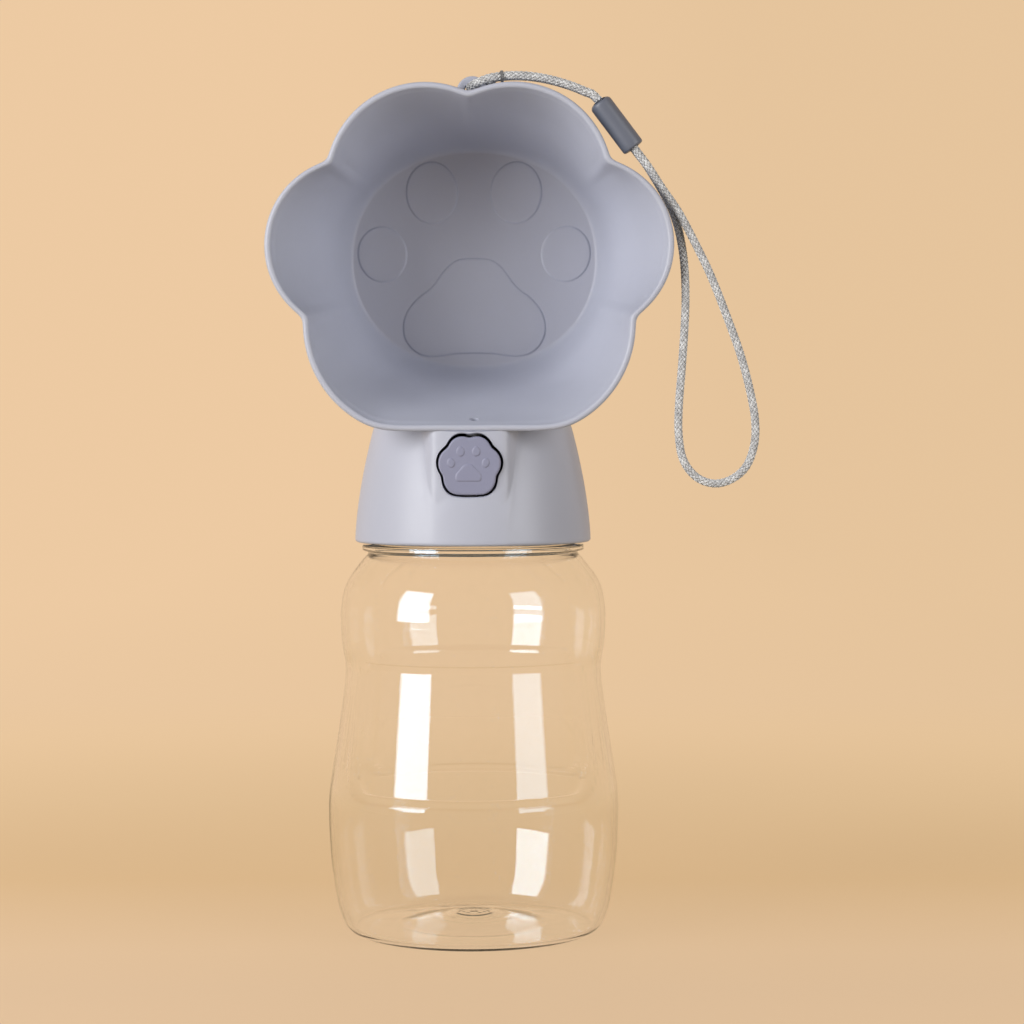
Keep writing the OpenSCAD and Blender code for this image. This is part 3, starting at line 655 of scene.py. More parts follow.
def makeBinding(part):
    lean = radians(part["lean"])
    along = Vector((sin(lean), 0, cos(lean)))
    depth = Vector((0, 1, 0))
    up = along.cross(depth)
    middle = Vector(part["middle"])
    points = []
    steps = part["wraps"] * part["steps"]
    for k in range(steps + 1):
        turn = 2 * pi * k / part["steps"]
        wobble = 0.02 * sin(turn * 0.37 + 1) + 0.015 * sin(turn * 1.7)  # the thread isn't wound quite evenly
        u, v = slotPoint(turn, part["cordRadius"] + part["threadRadius"] * 0.9 + wobble, part["half"])
        place = (k / steps - 0.5) * (part["length"] - 2 * part["threadRadius"]) + 0.04 * sin(turn * 0.5)
        points.append((middle + along * place + up * u + depth * v) * mm)
    mesh = grownThread("cord_binding_thread", points, part["threadRadius"], 10, bindingThread)
    piece = linkPiece("cord_binding_thread", mesh, bindingThread, "head")
    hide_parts("cord_binding")
    return piece


sliderPiece = makeSlider(cordSlider)
bindingPiece = makeBinding(cordBinding)
print("stage: slider and binding")

bowl = {
    # x, z and radius of the petals on one side
    "lobes": [(10.9, 17.9, 24.6), (28.9, 2.4, 21.6), (13.2, -17.1, 27.8), (0, -17.1, 27.8)],
    "flat": 43.7,  # from the middle down to the straight foot
    "middleZ": 171.0,
    "rimY": -28.8,
    "depth": 45.8,
    "wall": 1.7,
    "floorHalf": (33.5, 29.7),  # half width and half height of the floor
    "floorRise": 1.7,
    "fillet": (1.8, 8.0),  # how far the rounding reaches over the floor and up the wall
    "sharpness": 60,
    "softness": 16,  # of the creases between the lobes deeper in
    "softFrom": 0.3,
    "softMost": 0.8,
    "floorPower": 2.12,
    "sides": 480,
    "inset": 0.06,  # keeps the smooth outline within the frame's facets
}
pawRelief = {
    "height": 0.35,
    "sunk": 0.3,
    "toes": [(11.1, 17.6, 6.7, 8.1, 3), (24.2, 1.4, 6.4, 7.25, 8)],  # x, z, half width, half height, tilt
    "pad": [(0, 0.2), (3.6, 0), (5.8, -1), (7.9, -3), (10.1, -6.1), (12, -8.1), (14.3, -9.8),
            (16.6, -12.2), (18.1, -14.8), (18.7, -17.7), (18.3, -20.6), (16.8, -23.1), (14.4, -24.9),
            (11.5, -25.5), (8.2, -25.3), (4.7, -24.8), (0, -24.7)],
    "slope": 0.65,  # width of the sloping edge
    "toeSides": 72,
    "padSteps": 6,
}
outletHole = {
    "place": (1.0, -24.3, 128.75),
    "lean": 17.9,
    "hole": (1.15, -0.5, 3.5),  # radius, start and end
    "seal": (3.55, -1.4, 0.4),
    "duct": (2.75, -4, 12),
    "ductLean": -135,
}
eyelet = {
    "place": (0.7, -20.5),
    "hole": 2.0,
    "band": 1.9,
    "thick": 2.0,
    "lift": -0.6,
    "edge": 0.45,
    "arch": (-30, 210),  # degrees; both ends stand in the bowl's wall
}


def farSide(place, radius, direction):
    # distance from the origin to the far side of a circle
    along = place[0] * direction[0] + place[1] * direction[1]
    left = radius * radius - place[0] ** 2 - place[1] ** 2 + along * along
    return max(0.001, along + sqrt(left)) if left > 0 else 0.001


def flowerRadius(shape, turn, sharpness):
    # how far mirrored petals with a straight foot reach in a direction
    direction = (cos(turn), sin(turn))
    size = shape["lobes"][0][2]
    petal = size * sum(
        (farSide((side * x, z), radius, direction) / size) ** sharpness
        for x, z, radius in shape["lobes"] for side in (-1, 1)) ** (1 / sharpness)
    foot = shape["flat"] / max(0.001, -direction[1])
    return petal * (1 + (petal / foot) ** sharpness) ** (-1 / sharpness)


def floorRadius(turn):
    wide, tall = bowl["floorHalf"]
    power = bowl["floorPower"]
    return ((abs(cos(turn)) / wide) ** power + (abs(sin(turn)) / tall) ** power) ** (-1 / power)


bowlTurns = fullTurn(bowl["sides"])
rimRadii = [flowerRadius(bowl, t, bowl["sharpness"]) for t in bowlTurns]
softRadii = [flowerRadius(bowl, t, bowl["softness"]) for t in bowlTurns]
softRadii = [min(soft, rim + bowl["softMost"]) for soft, rim in zip(softRadii, rimRadii)]
floorRadii = [floorRadius(t) for t in bowlTurns]
bowlFloorY = bowl["rimY"] + bowl["depth"]
bowlFloorZ = bowl["middleZ"] + bowl["floorRise"]


def bowlRing(share, grow, y=None, size=1.0):
    # an outline of the bowl's wall between the rim (share 0) and the floor (share 1)
    ring = []
    z = bowl["middleZ"] + share * bowl["floorRise"]
    if y is None:
        y = bowl["rimY"] + share * bowl["depth"]
    soft = easeInOut(share / bowl["softFrom"])
    for turn, crisp, smooth, floor in zip(bowlTurns, rimRadii, softRadii, floorRadii):
        rim = lerp(crisp, smooth, soft)
        radius = (lerp(rim, floor + bowl["wall"], share) + grow - bowl["inset"]) * size
        ring.append((radius * cos(turn), y, z + radius * sin(turn)))
    return ring


def bowlSkin(grow, thick):
    # wall, rounding and floor from the rim to near the floor's middle
    depth, (reach, climb) = bowl["depth"], bowl["fillet"]
    deep = depth + thick
    rings = [bowlRing((deep - climb) / depth * k / 24, grow) for k in range(1, 25)]
    for k in range(1, 17):
        t = 1 - k / 16
        rings.append(bowlRing((deep - climb * t * t) / depth, grow - reach * (1 - t) ** 2))
    for k in range(1, 12):
        rings.append(bowlRing(deep / depth, grow - reach, bowl["rimY"] + deep, 1 - k / 12))
    return rings


def bowlHullMesh(gap):
    wall = bowl["wall"]
    rings = [bowlRing(0, gap, bowl["rimY"] - 0.6), bowlRing(0, gap)] + bowlSkin(gap, wall + gap)
    return meshOfRings(
        "bowl_hull", rings, (0, bowl["rimY"] - 0.6, bowl["middleZ"]),
        (0, bowlFloorY + wall + gap, bowlFloorZ))


def bowlMesh():
    wall = bowl["wall"]
    outside = bowlSkin(0, wall)
    inside = bowlSkin(-wall, 0)
    rounding = arc((-wall / 2, bowl["rimY"] + wall / 2), wall / 2, -180, 0, 15)
    lip = [bowlRing(0, grow, y) for grow, y in reversed(rounding)]
    return meshOfRings(
        "bowl_shell", outside[::-1] + lip + inside,
        (0, bowlFloorY + wall, bowlFloorZ), (0, bowlFloorY, bowlFloorZ))


def reliefPlate(outline, back, height, slope, toPoint):
    # a low raised plate with a sloping edge; toPoint turns x, depth, z into a place
    count = len(outline)
    centre = (sum(p[0] for p in outline) / count, sum(p[1] for p in outline) / count)
    area = sum(outline[k - 1][0] * outline[k][1] - outline[k][0] * outline[k - 1][1] for k in range(count))
    side = 1 if area > 0 else -1
    normals = []
    for k in range(count):
        ahead, behind = outline[(k + 1) % count], outline[k - 1]
        dx, dz = ahead[0] - behind[0], ahead[1] - behind[1]
        long = (hypot(dx, dz) or 1.0) * side
        normals.append((dz / long, -dx / long))
    steps = [(slope / 2, back)]
    steps += [(slope * (0.5 - k / 8), height * easeInOut(k / 8) - 0.01) for k in range(9)]
    rings = [[toPoint(p[0] + n[0] * grow, rise, p[1] + n[1] * grow) for p, n in zip(outline, normals)]
             for grow, rise in steps]
    top = [(p[0] - n[0] * slope / 2, p[1] - n[1] * slope / 2) for p, n in zip(outline, normals)]
    for k in range(1, 6):
        share = 1 - k / 6
        rings.append([toPoint(lerp(centre[0], p[0], share), height, lerp(centre[1], p[1], share))
                      for p in top])
    return meshOfRings("relief", rings, *(toPoint(centre[0], rise, centre[1]) for rise in (back, height)))


def mirroredOutline(half, steps):
    # closes half an outline, listed from its top to its foot, with its mirror image
    return smoothPath(half + [(-x, z) for x, z in reversed(half) if x > 0.01], steps, True)


def ellipse(x, z, wide, tall, tilt, count):
    lean = radians(tilt)
    made = []
    for t in fullTurn(count):
        u, v = wide * cos(t), tall * sin(t)
        made.append((x + u * cos(lean) - v * sin(lean), z + u * sin(lean) + v * cos(lean)))
    return made


def eyeletMesh():
    # a ring with rounded edges that stands on the bowl's upper edge
    share = (eyelet["place"][1] - bowl["rimY"]) / bowl["depth"]
    top = bowlRing(share, 0)[bowl["sides"] // 4][2]
    middle = Vector((*eyelet["place"], top + eyelet["hole"] + eyelet["lift"]))
    edge, half = eyelet["edge"], eyelet["thick"] / 2
    inner, outer = eyelet["hole"], eyelet["hole"] + eyelet["band"]
    section = []
    for r, y, start in ((outer - edge, half - edge, 0), (inner + edge, half - edge, 90),
                        (inner + edge, edge - half, 180), (outer - edge, edge - half, 270)):
        section += arc((r, y), edge, start, start + 90, 18)
    rings = []
    for k in range(73):
        t = radians(lerp(*eyelet["arch"], k / 72))
        rings.append([middle + Vector((r * cos(t), y, r * sin(t))) for r, y in section])
    ends = [sum(ring, Vector()) / len(ring) for ring in (rings[0], rings[-1])]
    return meshOfRings("eyelet", rings, *ends)


def outletCutter(part, lean):
    # a short round cutter whose axis passes the outlet and leans back from upright
    radius, low, high = part
    middle, turn = Vector(outletHole["place"]), Matrix.Rotation(radians(lean), 3, "X")
    rings = [[middle + turn @ Vector((radius * cos(t), radius * sin(t), z)) for t in fullTurn(48)]
             for z in (low, high)]
    return meshOfRings("cutter", rings, *(middle + turn @ Vector((0, 0, z)) for z in (low, high)))


def joinMeshes(name, meshes):
    work = bmesh.new()
    for mesh in meshes:
        work.from_mesh(mesh)
        bpy.data.meshes.remove(mesh)
    whole = bpy.data.meshes.new(name)
    work.to_mesh(whole)
    work.free()
    return whole


def pawPlates(part, toPoint):
    # four toes and a pad, each a low plate whose back is sunk in what carries it
    outlines = [ellipse(side * x, z, wide, tall, -side * tilt, part["toeSides"])
                for x, z, wide, tall, tilt in part["toes"] for side in (-1, 1)]
    outlines.append(mirroredOutline(part["pad"], part["padSteps"]))
    return [reliefPlate(outline, -part["sunk"], part["height"], part["slope"], toPoint)
            for outline in outlines]


def makeBowl():
    def onFloor(x, rise, z):
        return (x, bowlFloorY - rise, bowlFloorZ + z)

    shell = linkPiece("bowl_cut", bowlMesh(), greyPlastic)
    cutAway(shell, [outletCutter(outletHole["hole"], outletHole["lean"])])
    whole = joinMeshes("bowl_shell", [shell.data.copy(), eyeletMesh()] + pawPlates(pawRelief, onFloor))
    bpy.data.objects.remove(shell)
    piece = linkPiece("bowl_shell", whole, greyPlastic, "head", 50)
    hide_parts("bowl")
    print("stage: bowl", len(piece.data.polygons), "faces")


makeBowl()

collar = {
    "foot": 99.2,
    "top": 127.3,
    "footRadius": 30.2,
    "topRadius": 25.7,
    "bend": 1.6,
    "heel": 24.0,
    "edge": 0.8,
    "wall": 2.4,
    "skirtInside": 27.25,
    "ledge": 110.9,
    "bossFlat": 28.8,  # distance of the flat face from the middle
    "bossHalf": 9.3,
    "bossSpread": 3.0,
    "bossBack": 7.0,
    "bossBow": 54.0,  # radius of the face's slight curve
    "bossSharp": 40,
    "bossAbove": 7,  # how far it goes on over the collar's top
    "footTuck": 0.35,  # how far it draws in at the rounded foot
    "blend": 46,
    "blendMost": 0.25,
    "sides": 360,
}
button = {
    "lobes": [(1.9, 3.88, 3.85), (3.7, 0.55, 4.6), (2.1, -3.3, 4.85), (0, -3.3, 4.85)],
    "flat": 8.0,
    "sharpness": 22,
    "middleZ": 119.2,
    "frontY": -29.5,
    "backY": -27.5,
    "opening": [(-0.28, -31.0), (-0.28, -28.8), (-0.18, -28.66), (-0.06, -28.56), (0, -28.44)],
    "gap": 0.62,
    "sag": 0.13,  # the cap sits a little low in its opening
    "edge": 0.5,
    "pawShift": -0.25,
    "toes": [(1.95, 3.3, 0.95, 1.15, 4), (4.25, 0.5, 0.85, 1.1, 12)],
    "pad": [(0, 0.12), (0.85, -0.02), (1.5, -0.6), (2.3, -1.5), (2.9, -2.2), (3.1, -2.8),
            (3.05, -3.5), (2.7, -3.95), (1.5, -4.0), (0, -4.0)],
    "height": 0.24,  # of the paw
    "sunk": 0.2,
    "slope": 0.42,
    "toeSides": 48,
    "padSteps": 5,
    "sides": 240,
}


def collarRadius(z):
    share = max(0.0, z - collar["foot"]) / (collar["top"] - collar["foot"])
    return lerp(collar["footRadius"], collar["topRadius"], share ** collar["bend"])


def collarProfile():
    # from the rounded foot up the cone and over the heel, which is part of an ellipse
    top, edge, foot = collar["top"], collar["edge"], collar["foot"]
    made = arc((collar["footRadius"] - edge, foot + edge), edge, -90, -15, 15)
    made += [(collarRadius(z), z) for z in (lerp(foot + edge, top, k / 44) for k in range(44))]
    slope = collar["bend"] * (collar["footRadius"] - collar["topRadius"]) / (top - foot)
    steep = slope * collar["heel"] / collar["topRadius"]
    start = (sqrt(1 + 4 * steep * steep) - 1) / (2 * steep)
    heelRadius = collar["topRadius"] / sqrt(1 - start * start)
    for k in range(31):
        s = lerp(start, 1, sin(radians(3 * k)))
        made.append((heelRadius * sqrt(max(0, 1 - s * s)), top + (s - start) * collar["heel"]))
    return made


def bossRadius(turn):
    # how far the flat boss reaches in a direction, 0 where it doesn't
    x, y = cos(turn), sin(turn)
    if y >= -0.2:  # it is on the front only
        return 0.001
    bow = collar["bossBow"]
    flat = farSide((0, bow - collar["bossFlat"]), bow, (x, y))
    side = collar["bossBack"] / collar["bossSpread"]  # slant of the boss's cheeks
    cheek = (collar["bossHalf"] * side + collar["bossFlat"]) / (abs(x) * side - y)
    if abs(x) * side - y <= 0:
        return flat
    sharp = collar["bossSharp"]
    return (flat ** -sharp + cheek ** -sharp) ** (-1 / sharp)


def collarMesh():
    shape, profile = collar, collarProfile()
    turns = fullTurn(shape["sides"])
    boss = [bossRadius(t) for t in turns]
    power, footZ = shape["blend"], shape["foot"]
    rings = []
    for radius, z in profile[:-1]:
        share = 1.0 if z > footZ + shape["edge"] else (z - footZ) / shape["edge"]
        ring = []
        for turn, reach in zip(turns, boss):
            below = z < shape["top"] + shape["bossAbove"]
            grown = reach - shape["footTuck"] * (1 - share) ** 2 if below else 0.001
            less, more = sorted((radius, grown))
            whole = min(more * ((less / more) ** power + 1) ** (1 / power), more + shape["blendMost"])
            ring.append((whole * cos(turn), whole * sin(turn), z))
        rings.append(ring)
    inside = [(shape["skirtInside"], z) for z in (footZ, footZ + 4, shape["ledge"])]
    inner = [innerPoint(profile, k, shape["wall"]) for k in range(1, len(profile) - 1)]
    inside += [(r, z) for r, z in inner if z > shape["ledge"] + 0.3 and r > shape["wall"]]
    insideRings = [[(r * cos(t), r * sin(t), z) for t in turns] for r, z in inside]
    return meshOfRings(
        "collar_shell", insideRings[::-1] + rings, (0, 0, inside[-1][1]), (0, 0, profile[-1][1]))


def buttonRing(inset, y, size=1.0, sag=0.0):
    ring = []
    for t in fullTurn(button["sides"]):
        radius = (flowerRadius(button, t, button["sharpness"]) - inset) * size
        ring.append((radius * cos(t), y, button["middleZ"] - sag + radius * sin(t)))
    return ring


def makeCollar():
    block = linkPiece("collar_cut", collarMesh(), greyPlastic)
    back = collar["bossBack"] - collar["bossFlat"]
    steps = button["opening"] + [(0, back)]
    opening = meshOfRings(
        "button_opening", [buttonRing(*step) for step in steps],
        *((0, y, button["middleZ"]) for y in (steps[0][1], back)))
    cutAway(block, [bowlHullMesh(0.1), opening, outletCutter(outletHole["duct"], outletHole["ductLean"]),
                    outletCutter(outletHole["seal"], outletHole["lean"])])
    piece = linkPiece("collar_shell", block.data, greyPlastic, "head", 32)
    bpy.data.objects.remove(block)
    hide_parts("collar")
    print("stage: collar", len(piece.data.polygons), "faces")


makeCollar()


def buttonMesh():
    edge, sag = button["edge"], button["sag"]
    front, gap = button["frontY"], button["gap"]
    rings = [buttonRing(gap, button["backY"] - 0.4 * k, 1.0, sag) for k in range(4)]
    rings += [buttonRing(inset, y, 1.0, sag)
              for inset, y in arc((gap + edge, front + edge), edge, 195, 270, 15)]
    rings += [buttonRing(gap + edge, front, 1 - k / 20, sag) for k in range(1, 20)]
    return meshOfRings("button_cap", rings, (0, button["backY"], button["middleZ"] - sag),
                       (0, front, button["middleZ"] - sag))


def makeButton():
    def onFace(x, rise, z):
        return (x + button["pawShift"], button["frontY"] - rise, button["middleZ"] + z)

    whole = joinMeshes("paw_button", [buttonMesh()] + pawPlates(button, onFace))
    piece = linkPiece("paw_button", whole, buttonPlastic, "push_button", 50)
    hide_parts("button")


makeButton()
print("stage: button")

bottle = {
    "body": [(31.2, 0.25), (32.3, 0.95), (33.4, 2.6), (34.75, 6.5), (35.8, 12.5), (36.75, 20),
             (37.18, 29), (37.08, 34.8), (36.3, 40.5), (33.9, 56.5), (32.8, 66.5), (33.6, 72.5),
             (33.98, 77), (34, 79.5), (33.97, 81.8), (33.3, 86.4), (31.8, 90), (28.4, 94.6), (26.9, 96.2)],
    "wall": 1.3,
    "inset": 0.05,  # keeps the smooth outline within the frame's facets
    "gripRadius": 34.5,
    "sides": 144,
    "ringGap": 0.66,
    "floorSteps": 62,
    "footRadius": 30.0,
    "puntRadius": 19.0,
    "domeHeight": 3.3,
    "footSlope": 0.5,
    "footEdge": [(0.0, 0.0), (0.5, 0.03), (0.85, 0.1)],  # out and up from the foot's radius
    "gateRings": [(9.0, 1.5, 0.04), (3.9, 0.9, 0.12), (0.0, 1.0, 0.25)],  # place, half width and height
}
gripPanel = {
    "halfAngle": 57.5,
    "low": 36.55,
    "top": 68.8,
    "rampLow": 1.05,  # half widths of the slanting edges
    "rampTop": 0.85,
    "fineReach": 2.6,  # rings are four times closer within this of a panel's ends
    "cornerLow": 8.0,
    "cornerTop": 3.5,
    "coneTop": (32.3, 67.5),
    "coneLow": (35.4, 38.0),
}
neckShape = {
    "radius": 23.6,
    "bore": 21.9,
    "lip": 108.5,
    "bead": (28.4, 97.05, 98.5, 0.28),  # radius, foot, top and rounding
    # radius and height up from the groove, over the bead to the neck, and down inside behind it
    "underBead": [(26.9, 96.45), (26.95, 96.75), (27.15, 96.95), (27.4, 97.05)],
    "overBead": [(26.3, 98.5), (26.0, 98.58), (24.8, 99.1), (23.7, 99.6), (23.6, 99.75)],
    "behindBead": [(22.0, 99.45), (22.3, 99.25), (24.7, 98.35), (25.1, 98.2), (25.28, 98.05), (25.3, 97.9),
                   (25.3, 97.4), (25.3, 96.8), (25.35, 96.2), (25.45, 95.7)],
    "innerTop": 95.3,
    "pitch": 4.0,
    "threadHeight": 1.1,
    "threadWidth": 1.7,
    "threadTurns": 1.25,
    "threadStart": 2.4,  # above the bead
    "threadFade": 12,  # how quickly it rises at its ends, and up its flanks
    "flankFade": 1.8,
}


def bottleOutside():
    # radius and height from the foot up to the groove under the bead
    keys = [Vector((r, z, 0)) for r, z in bottle["body"]]
    line = [(p[0] - bottle["inset"], p[1]) for p in spaced(smoothPath(keys, 24), bottle["ringGap"])]
    fine = []
    for a, b in zip(line, line[1:]):
        near = min(abs(a[1] - gripPanel["low"]), abs(a[1] - gripPanel["top"])) < gripPanel["fineReach"]
        steps = 4 if near else 1
        fine += [(lerp(a[0], b[0], k / steps), lerp(a[1], b[1], k / steps)) for k in range(steps)]
    return fine + [line[-1]]


def panelShare(turn, z):
    # 1 inside a grip panel, 0 outside it
    fromFront = abs((turn % pi) - pi / 2)
    u = fromFront * bottle["gripRadius"]
    width = radians(gripPanel["halfAngle"]) * bottle["gripRadius"]
    v = z - (gripPanel["low"] + gripPanel["top"]) / 2
    tall = (gripPanel["top"] - gripPanel["low"]) / 2
    corner = gripPanel["cornerTop"] if v > 0 else gripPanel["cornerLow"]
    ramp = gripPanel["rampTop"] if v > 0 else gripPanel["rampLow"]
    du, dv = u - width + corner, abs(v) - tall + corner
    outside = hypot(max(du, 0), max(dv, 0)) + min(max(du, dv), 0) - corner
    return clampUnit(0.5 - outside / (2 * ramp))


def panelDrop(radius, turn, z):
    (topRadius, topZ), (lowRadius, lowZ) = gripPanel["coneTop"], gripPanel["coneLow"]
    cone = lerp(topRadius, lowRadius, (topZ - z) / (topZ - lowZ))
    return max(0.0, radius - cone) * panelShare(turn, z)


def threadLift(turn, z):
    # how far the neck's thread stands out at a place
    neck = neckShape
    middle = neck["bead"][2] + neck["threadStart"]
    whole = 0.0
    for lap in (-1, 0, 1, 2):
        along = turn / (2 * pi) + lap
        if 0 <= along <= neck["threadTurns"]:
            ends = easeInOut(min(along, neck["threadTurns"] - along) * neck["threadFade"])
            off = abs(z - middle - along * neck["pitch"]) / (neck["threadWidth"] / 2)
            whole = max(whole, ends * easeInOut((1 - off) * neck["flankFade"]))
    return whole * neck["threadHeight"]


def bottleMesh():
    turns = fullTurn(bottle["sides"])
    wall, neck, bore = bottle["wall"], neckShape["radius"], neckShape["bore"]
    lip, threadFoot = neckShape["lip"], neckShape["overBead"][-1][1]
    outside = bottleOutside()

    def turned(profile):
        return [[(r, t, z) for t in turns] for r, z in profile]

    rings = [[(r - panelDrop(r, t, z), t, z) for t in turns] for r, z in outside]
    radius, low, top, edge = neckShape["bead"]
    bead = neckShape["underBead"] + [(radius - edge - 0.05, low)]
    bead += arc((radius - edge, low + edge), edge, -90, 0, 15)
    bead += [(radius, low + edge + 0.05), (radius, top - edge - 0.05)]
    bead += arc((radius - edge, top - edge), edge, 0, 90, 15)
    rings += turned(bead + [(radius - edge - 0.05, top)] + neckShape["overBead"])
    for k in range(1, 48):
        z = lerp(threadFoot, lip - 0.4, k / 47)
        rings.append([(neck + threadLift(t, z), t, z) for t in turns])
    rings += turned([(neck - 0.12, lip - 0.12), (neck - 0.4, lip), (bore + 0.3, lip), (bore, lip - 0.3)])
    rings += turned([(bore, lerp(lip - 0.3, threadFoot - 0.15, k / 8)) for k in range(1, 9)])
    rings += turned(neckShape["behindBead"])
    for k in range(len(outside) - 2, 1, -1):  # the grip panels show inside too
        r, z = innerPoint(outside, k, wall)
        if z < neckShape["innerTop"]:
            rings.append([(r - panelDrop(outside[k][0], t, outside[k][1]), t, z) for t in turns])
    foot, punt, tall = bottle["footRadius"], bottle["puntRadius"], bottle["domeHeight"]
    steps = bottle["floorSteps"]

    def floorZ(r):
        # underside of the base: a standing ring, a shallow slope and a low pushed-up middle
        slope = bottle["footSlope"] * easeInOut((foot - r) / (foot - punt))
        dome = (tall - bottle["footSlope"]) * (1 - clampUnit(r / punt) ** 2) ** 1.6
        marks = 0.0
        for place, width, high in bottle["gateRings"]:
            marks += high * max(0.0, 1 - ((r - place) / width) ** 2) ** 2
        return slope + dome - marks

    radii = [foot * (1 - k / steps) for k in range(steps)]
    inside = [(foot + 0.42, wall + 0.05), (foot, wall)]
    rings += turned(inside + [(r, floorZ(r) + wall) for r in radii if r < foot - 0.5])
    under = turned([(r, floorZ(r)) for r in radii[:0:-1]])
    under += turned([(foot + out, up) for out, up in bottle["footEdge"]])
    points = [[(r * cos(t), r * sin(t), z) for r, t, z in ring] for ring in under + rings]
    return meshOfRings("bottle_body", points, (0, 0, floorZ(0)), (0, 0, floorZ(0) + wall))


def makeBottle():
    piece = linkPiece("bottle_body", bottleMesh(), bottlePlastic, "bottle", 60)
    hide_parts("bottle")
    print("stage: bottle", len(piece.data.polygons), "faces")


makeBottle()

insideFinish = {
    "neck_seal": siliconeSeal,
    "thread_insert": insertPlastic,
    "plunger": innerPlastic,
    "front_o_ring": rubberSeal,
    "seat_washer": rubberSeal,
    "valve_body": innerPlastic,
    "valve_plug": innerPlastic,
    "plug_o_ring": rubberSeal,
    "outlet_seal": siliconeSeal,
}
for nodeName, finish in insideFinish.items():
    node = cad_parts[nodeName]
    if not node.material_slots:
        node.data.materials.append(finish)
    for place in node.material_slots:
        place.material = finish

returnSpring = {
    "radius": 3.2,  # mm, to the middle of the wire
    "wireRadius": 0.3,
    "turns": 6,
    "steps": 48,  # points for each turn
    "front": -4.15,
    "back": 7.65,
    "height": 119.2,
    "seat": 8.0,  # the plug's face, which it shortens towards
    "pressed": 0.8,  # share of its length that is left when the button is in
}


def makeSpring(part):
    count = part["turns"] * part["steps"]
    line = []
    for k in range(count + 1):
        t = 2 * pi * k / part["steps"]
        line.append(Vector((part["radius"] * cos(t), lerp(part["front"], part["back"], k / count),
                            part["height"] + part["radius"] * sin(t))) * mm)
    mesh = grownThread("spring_coils", line, part["wireRadius"], 12, springWire)
    piece = linkPiece("spring_coils", mesh, springWire, "head", 40)
    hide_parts("return_spring")
    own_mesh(piece)


makeSpring(returnSpring)
print("stage: inside")

studio = {
    "floorRadius": 2600.0,
    "floorRings": 24,
    "sides": 128,
    "wallHeight": 1000.0,
    "sweep": 400.0,
    "litPaperTones": [(-73, (0.806, 0.572, 0.359)), (-30, (0.826, 0.583, 0.359)), (68, (0.791, 0.537, 0.293)),
              (223, (0.798, 0.558, 0.319)), (545, (0.80, 0.565, 0.345)),
              (1244, (0.815, 0.575, 0.35))],  # depth in mm and colour of the seamless paper, with painted light and shade: darker just behind the object, lighter in front and far back
    # painted light across the paper: lighter on the left, darker on the right, as the lamps light it
    # unevenly
    "leftPaintedLight": (1.035, 1.028, 1.04),
    "rightPaintedShade": (0.965, 0.965, 0.96),
    "paintedLightWidth": 600.0,
    "lift": 1.2,
    "bounce": (0.5, 0.42, 0.3),  # what the paper sends back on the bottle, kept plainer than it looks
    "nearShare": 0.6,
    "fadeFrom": 60.0,
    "fadeTo": 480.0,
    "skyStrength": 0.06,
    # direction in degrees, width, foot, top, distance and strength of each lamp
    "lamps": {
        "softbox_left": (-51.5, 530.0, 20.0, 800.0, 1000.0, 8.8),
        "softbox_right": (50.5, 480.0, 20.0, 800.0, 1000.0, 4.5),
        "back_fill": (180.0, 900.0, 500.0, 1200.0, 1100.0, 2.5),
    },
}


def seenRay(board):
    # 1 for what the camera sees directly, in a reflection or through something clear
    seen = board.ray("Is Camera Ray") + board.ray("Is Glossy Ray") + board.ray("Is Transmission Ray")
    return seen.limited() * (1 - board.ray("Diffuse Depth").limited())


def paperMaterial():
    material, board, where = newMaterial("seamless_paper")
    across, back = (board.node("ShaderNodeSeparateXYZ", {0: where}, out=axis) for axis in (0, 1))
    low, high = studio["litPaperTones"][0][0], studio["litPaperTones"][-1][0]
    tone = board.node(
        "ShaderNodeValToRGB", {0: (back - low * mm) / ((high - low) * mm)},
        stops=[((y - low) / (high - low), colour) for y, colour in studio["litPaperTones"]])
    # painted light and shade from left to right over the paper
    slant = (across / (studio["paintedLightWidth"] * mm) + 0.5).limited()
    paintedSideShade = board.mixColour(slant, studio["leftPaintedLight"], studio["rightPaintedShade"])
    tone = board.mixColour(1.0, tone, paintedSideShade, "MULTIPLY")
    grain = board.noise(where, 900.0, 3.0, 0.6)
    paper = board.principled({
        "Base Color": board.mixColour(
            seenRay(board), studio["bounce"], board.mixColour(1.0, tone, (studio["lift"],) * 3, "MULTIPLY")),
        "Roughness": 0.75, "Specular IOR Level": 0.2, "Normal": board.bump(grain, 0.15, 0.00005)})
    glow = board.node("ShaderNodeEmission", {"Color": tone, "Strength": 1.0})
    away = board.vector("LENGTH", where)
    fade = board.node(
        "ShaderNodeMapRange", {0: away, 1: studio["fadeFrom"] * mm, 2: studio["fadeTo"] * mm,
                               3: studio["nearShare"], 4: 1.0}, interpolation_type="SMOOTHSTEP")
    return finishMaterial(material, board, board.mixShader(fade * seenRay(board), paper, glow))


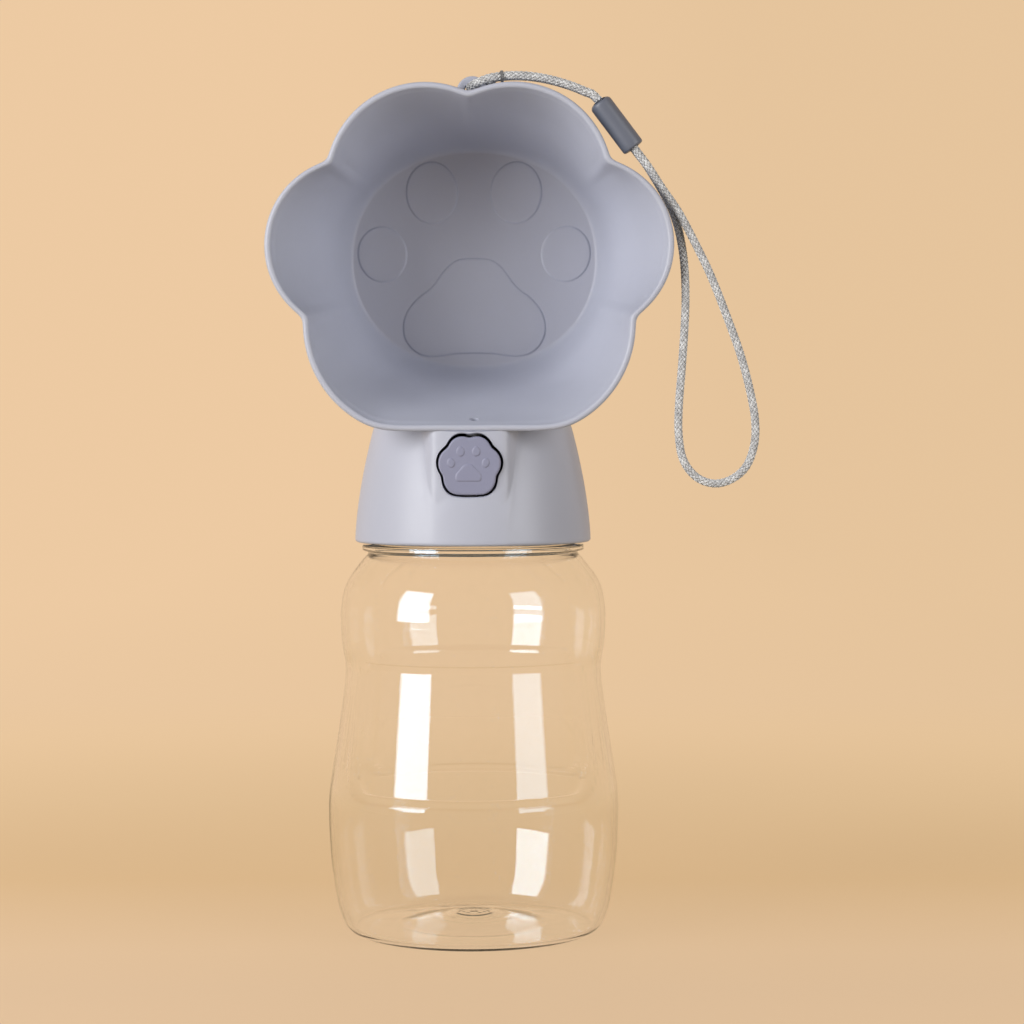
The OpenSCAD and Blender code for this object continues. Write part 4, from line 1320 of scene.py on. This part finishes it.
def makeBackdrop():
    radius, sweep, height = studio["floorRadius"], studio["sweep"], studio["wallHeight"]
    rows, sides = studio["floorRings"], studio["sides"]
    profile = [(radius * (k + 1) / rows, 0.0) for k in range(rows)]
    profile += arc((radius, sweep), sweep, -80, 0, 10) + [(radius + sweep, height)]
    points, faces = [(0.0, 0.0, 0.0)], []
    for r, z in profile:
        points += [(r * cos(t) * mm, r * sin(t) * mm, z * mm) for t in fullTurn(sides)]
    for k in range(sides):
        faces.append((0, 1 + k, 1 + (k + 1) % sides))
    for row in range(len(profile) - 1):
        for k in range(sides):
            a, b = 1 + row * sides + k, 1 + row * sides + (k + 1) % sides
            faces.append((a, a + sides, b + sides, b))
    mesh = bpy.data.meshes.new("backdrop")
    mesh.from_pydata(points, [], faces)
    linkPiece("backdrop", mesh, paperMaterial())


def makeSoftbox(name, azimuth, width, low, high, far, strength):
    # a tall flat lamp that faces the bottle
    lamp = bpy.data.lights.new(name, "AREA")
    lamp.shape = "RECTANGLE"
    lamp.size, lamp.size_y = width * mm, (high - low) * mm
    lamp.energy = strength * pi * lamp.size * lamp.size_y
    turn = radians(azimuth)
    holder = placed(name, lamp)
    holder.location = Vector((sin(turn) * far, -cos(turn) * far, (high + low) / 2)) * mm
    holder.rotation_euler = (radians(90), 0, turn)
    return holder


def makeAir():
    # the sky lights the object white and looks like the backdrop wherever it is seen
    world = bpy.data.worlds.new("air")
    bpy.context.scene.world = world
    world.use_nodes = True
    world.node_tree.nodes.clear()
    board = Board(world.node_tree)
    lights = ((1.0, 1.0, 1.0), studio["skyStrength"]), (studio["litPaperTones"][-1][1], 1.0)
    sky, seen = (board.node("ShaderNodeBackground", {"Color": colour, "Strength": strength})
                 for colour, strength in lights)
    end = world.node_tree.nodes.new("ShaderNodeOutputWorld")
    board.feed(end.inputs["Surface"], board.mixShader(seenRay(board), sky, seen))


makeBackdrop()
lamps = {name: makeSoftbox(name, *given) for name, given in studio["lamps"].items()}
hidden = lamps["back_fill"]  # lights the far side only and is never seen itself
hidden.visible_camera = hidden.visible_glossy = hidden.visible_transmission = False
makeAir()
print("stage: studio")
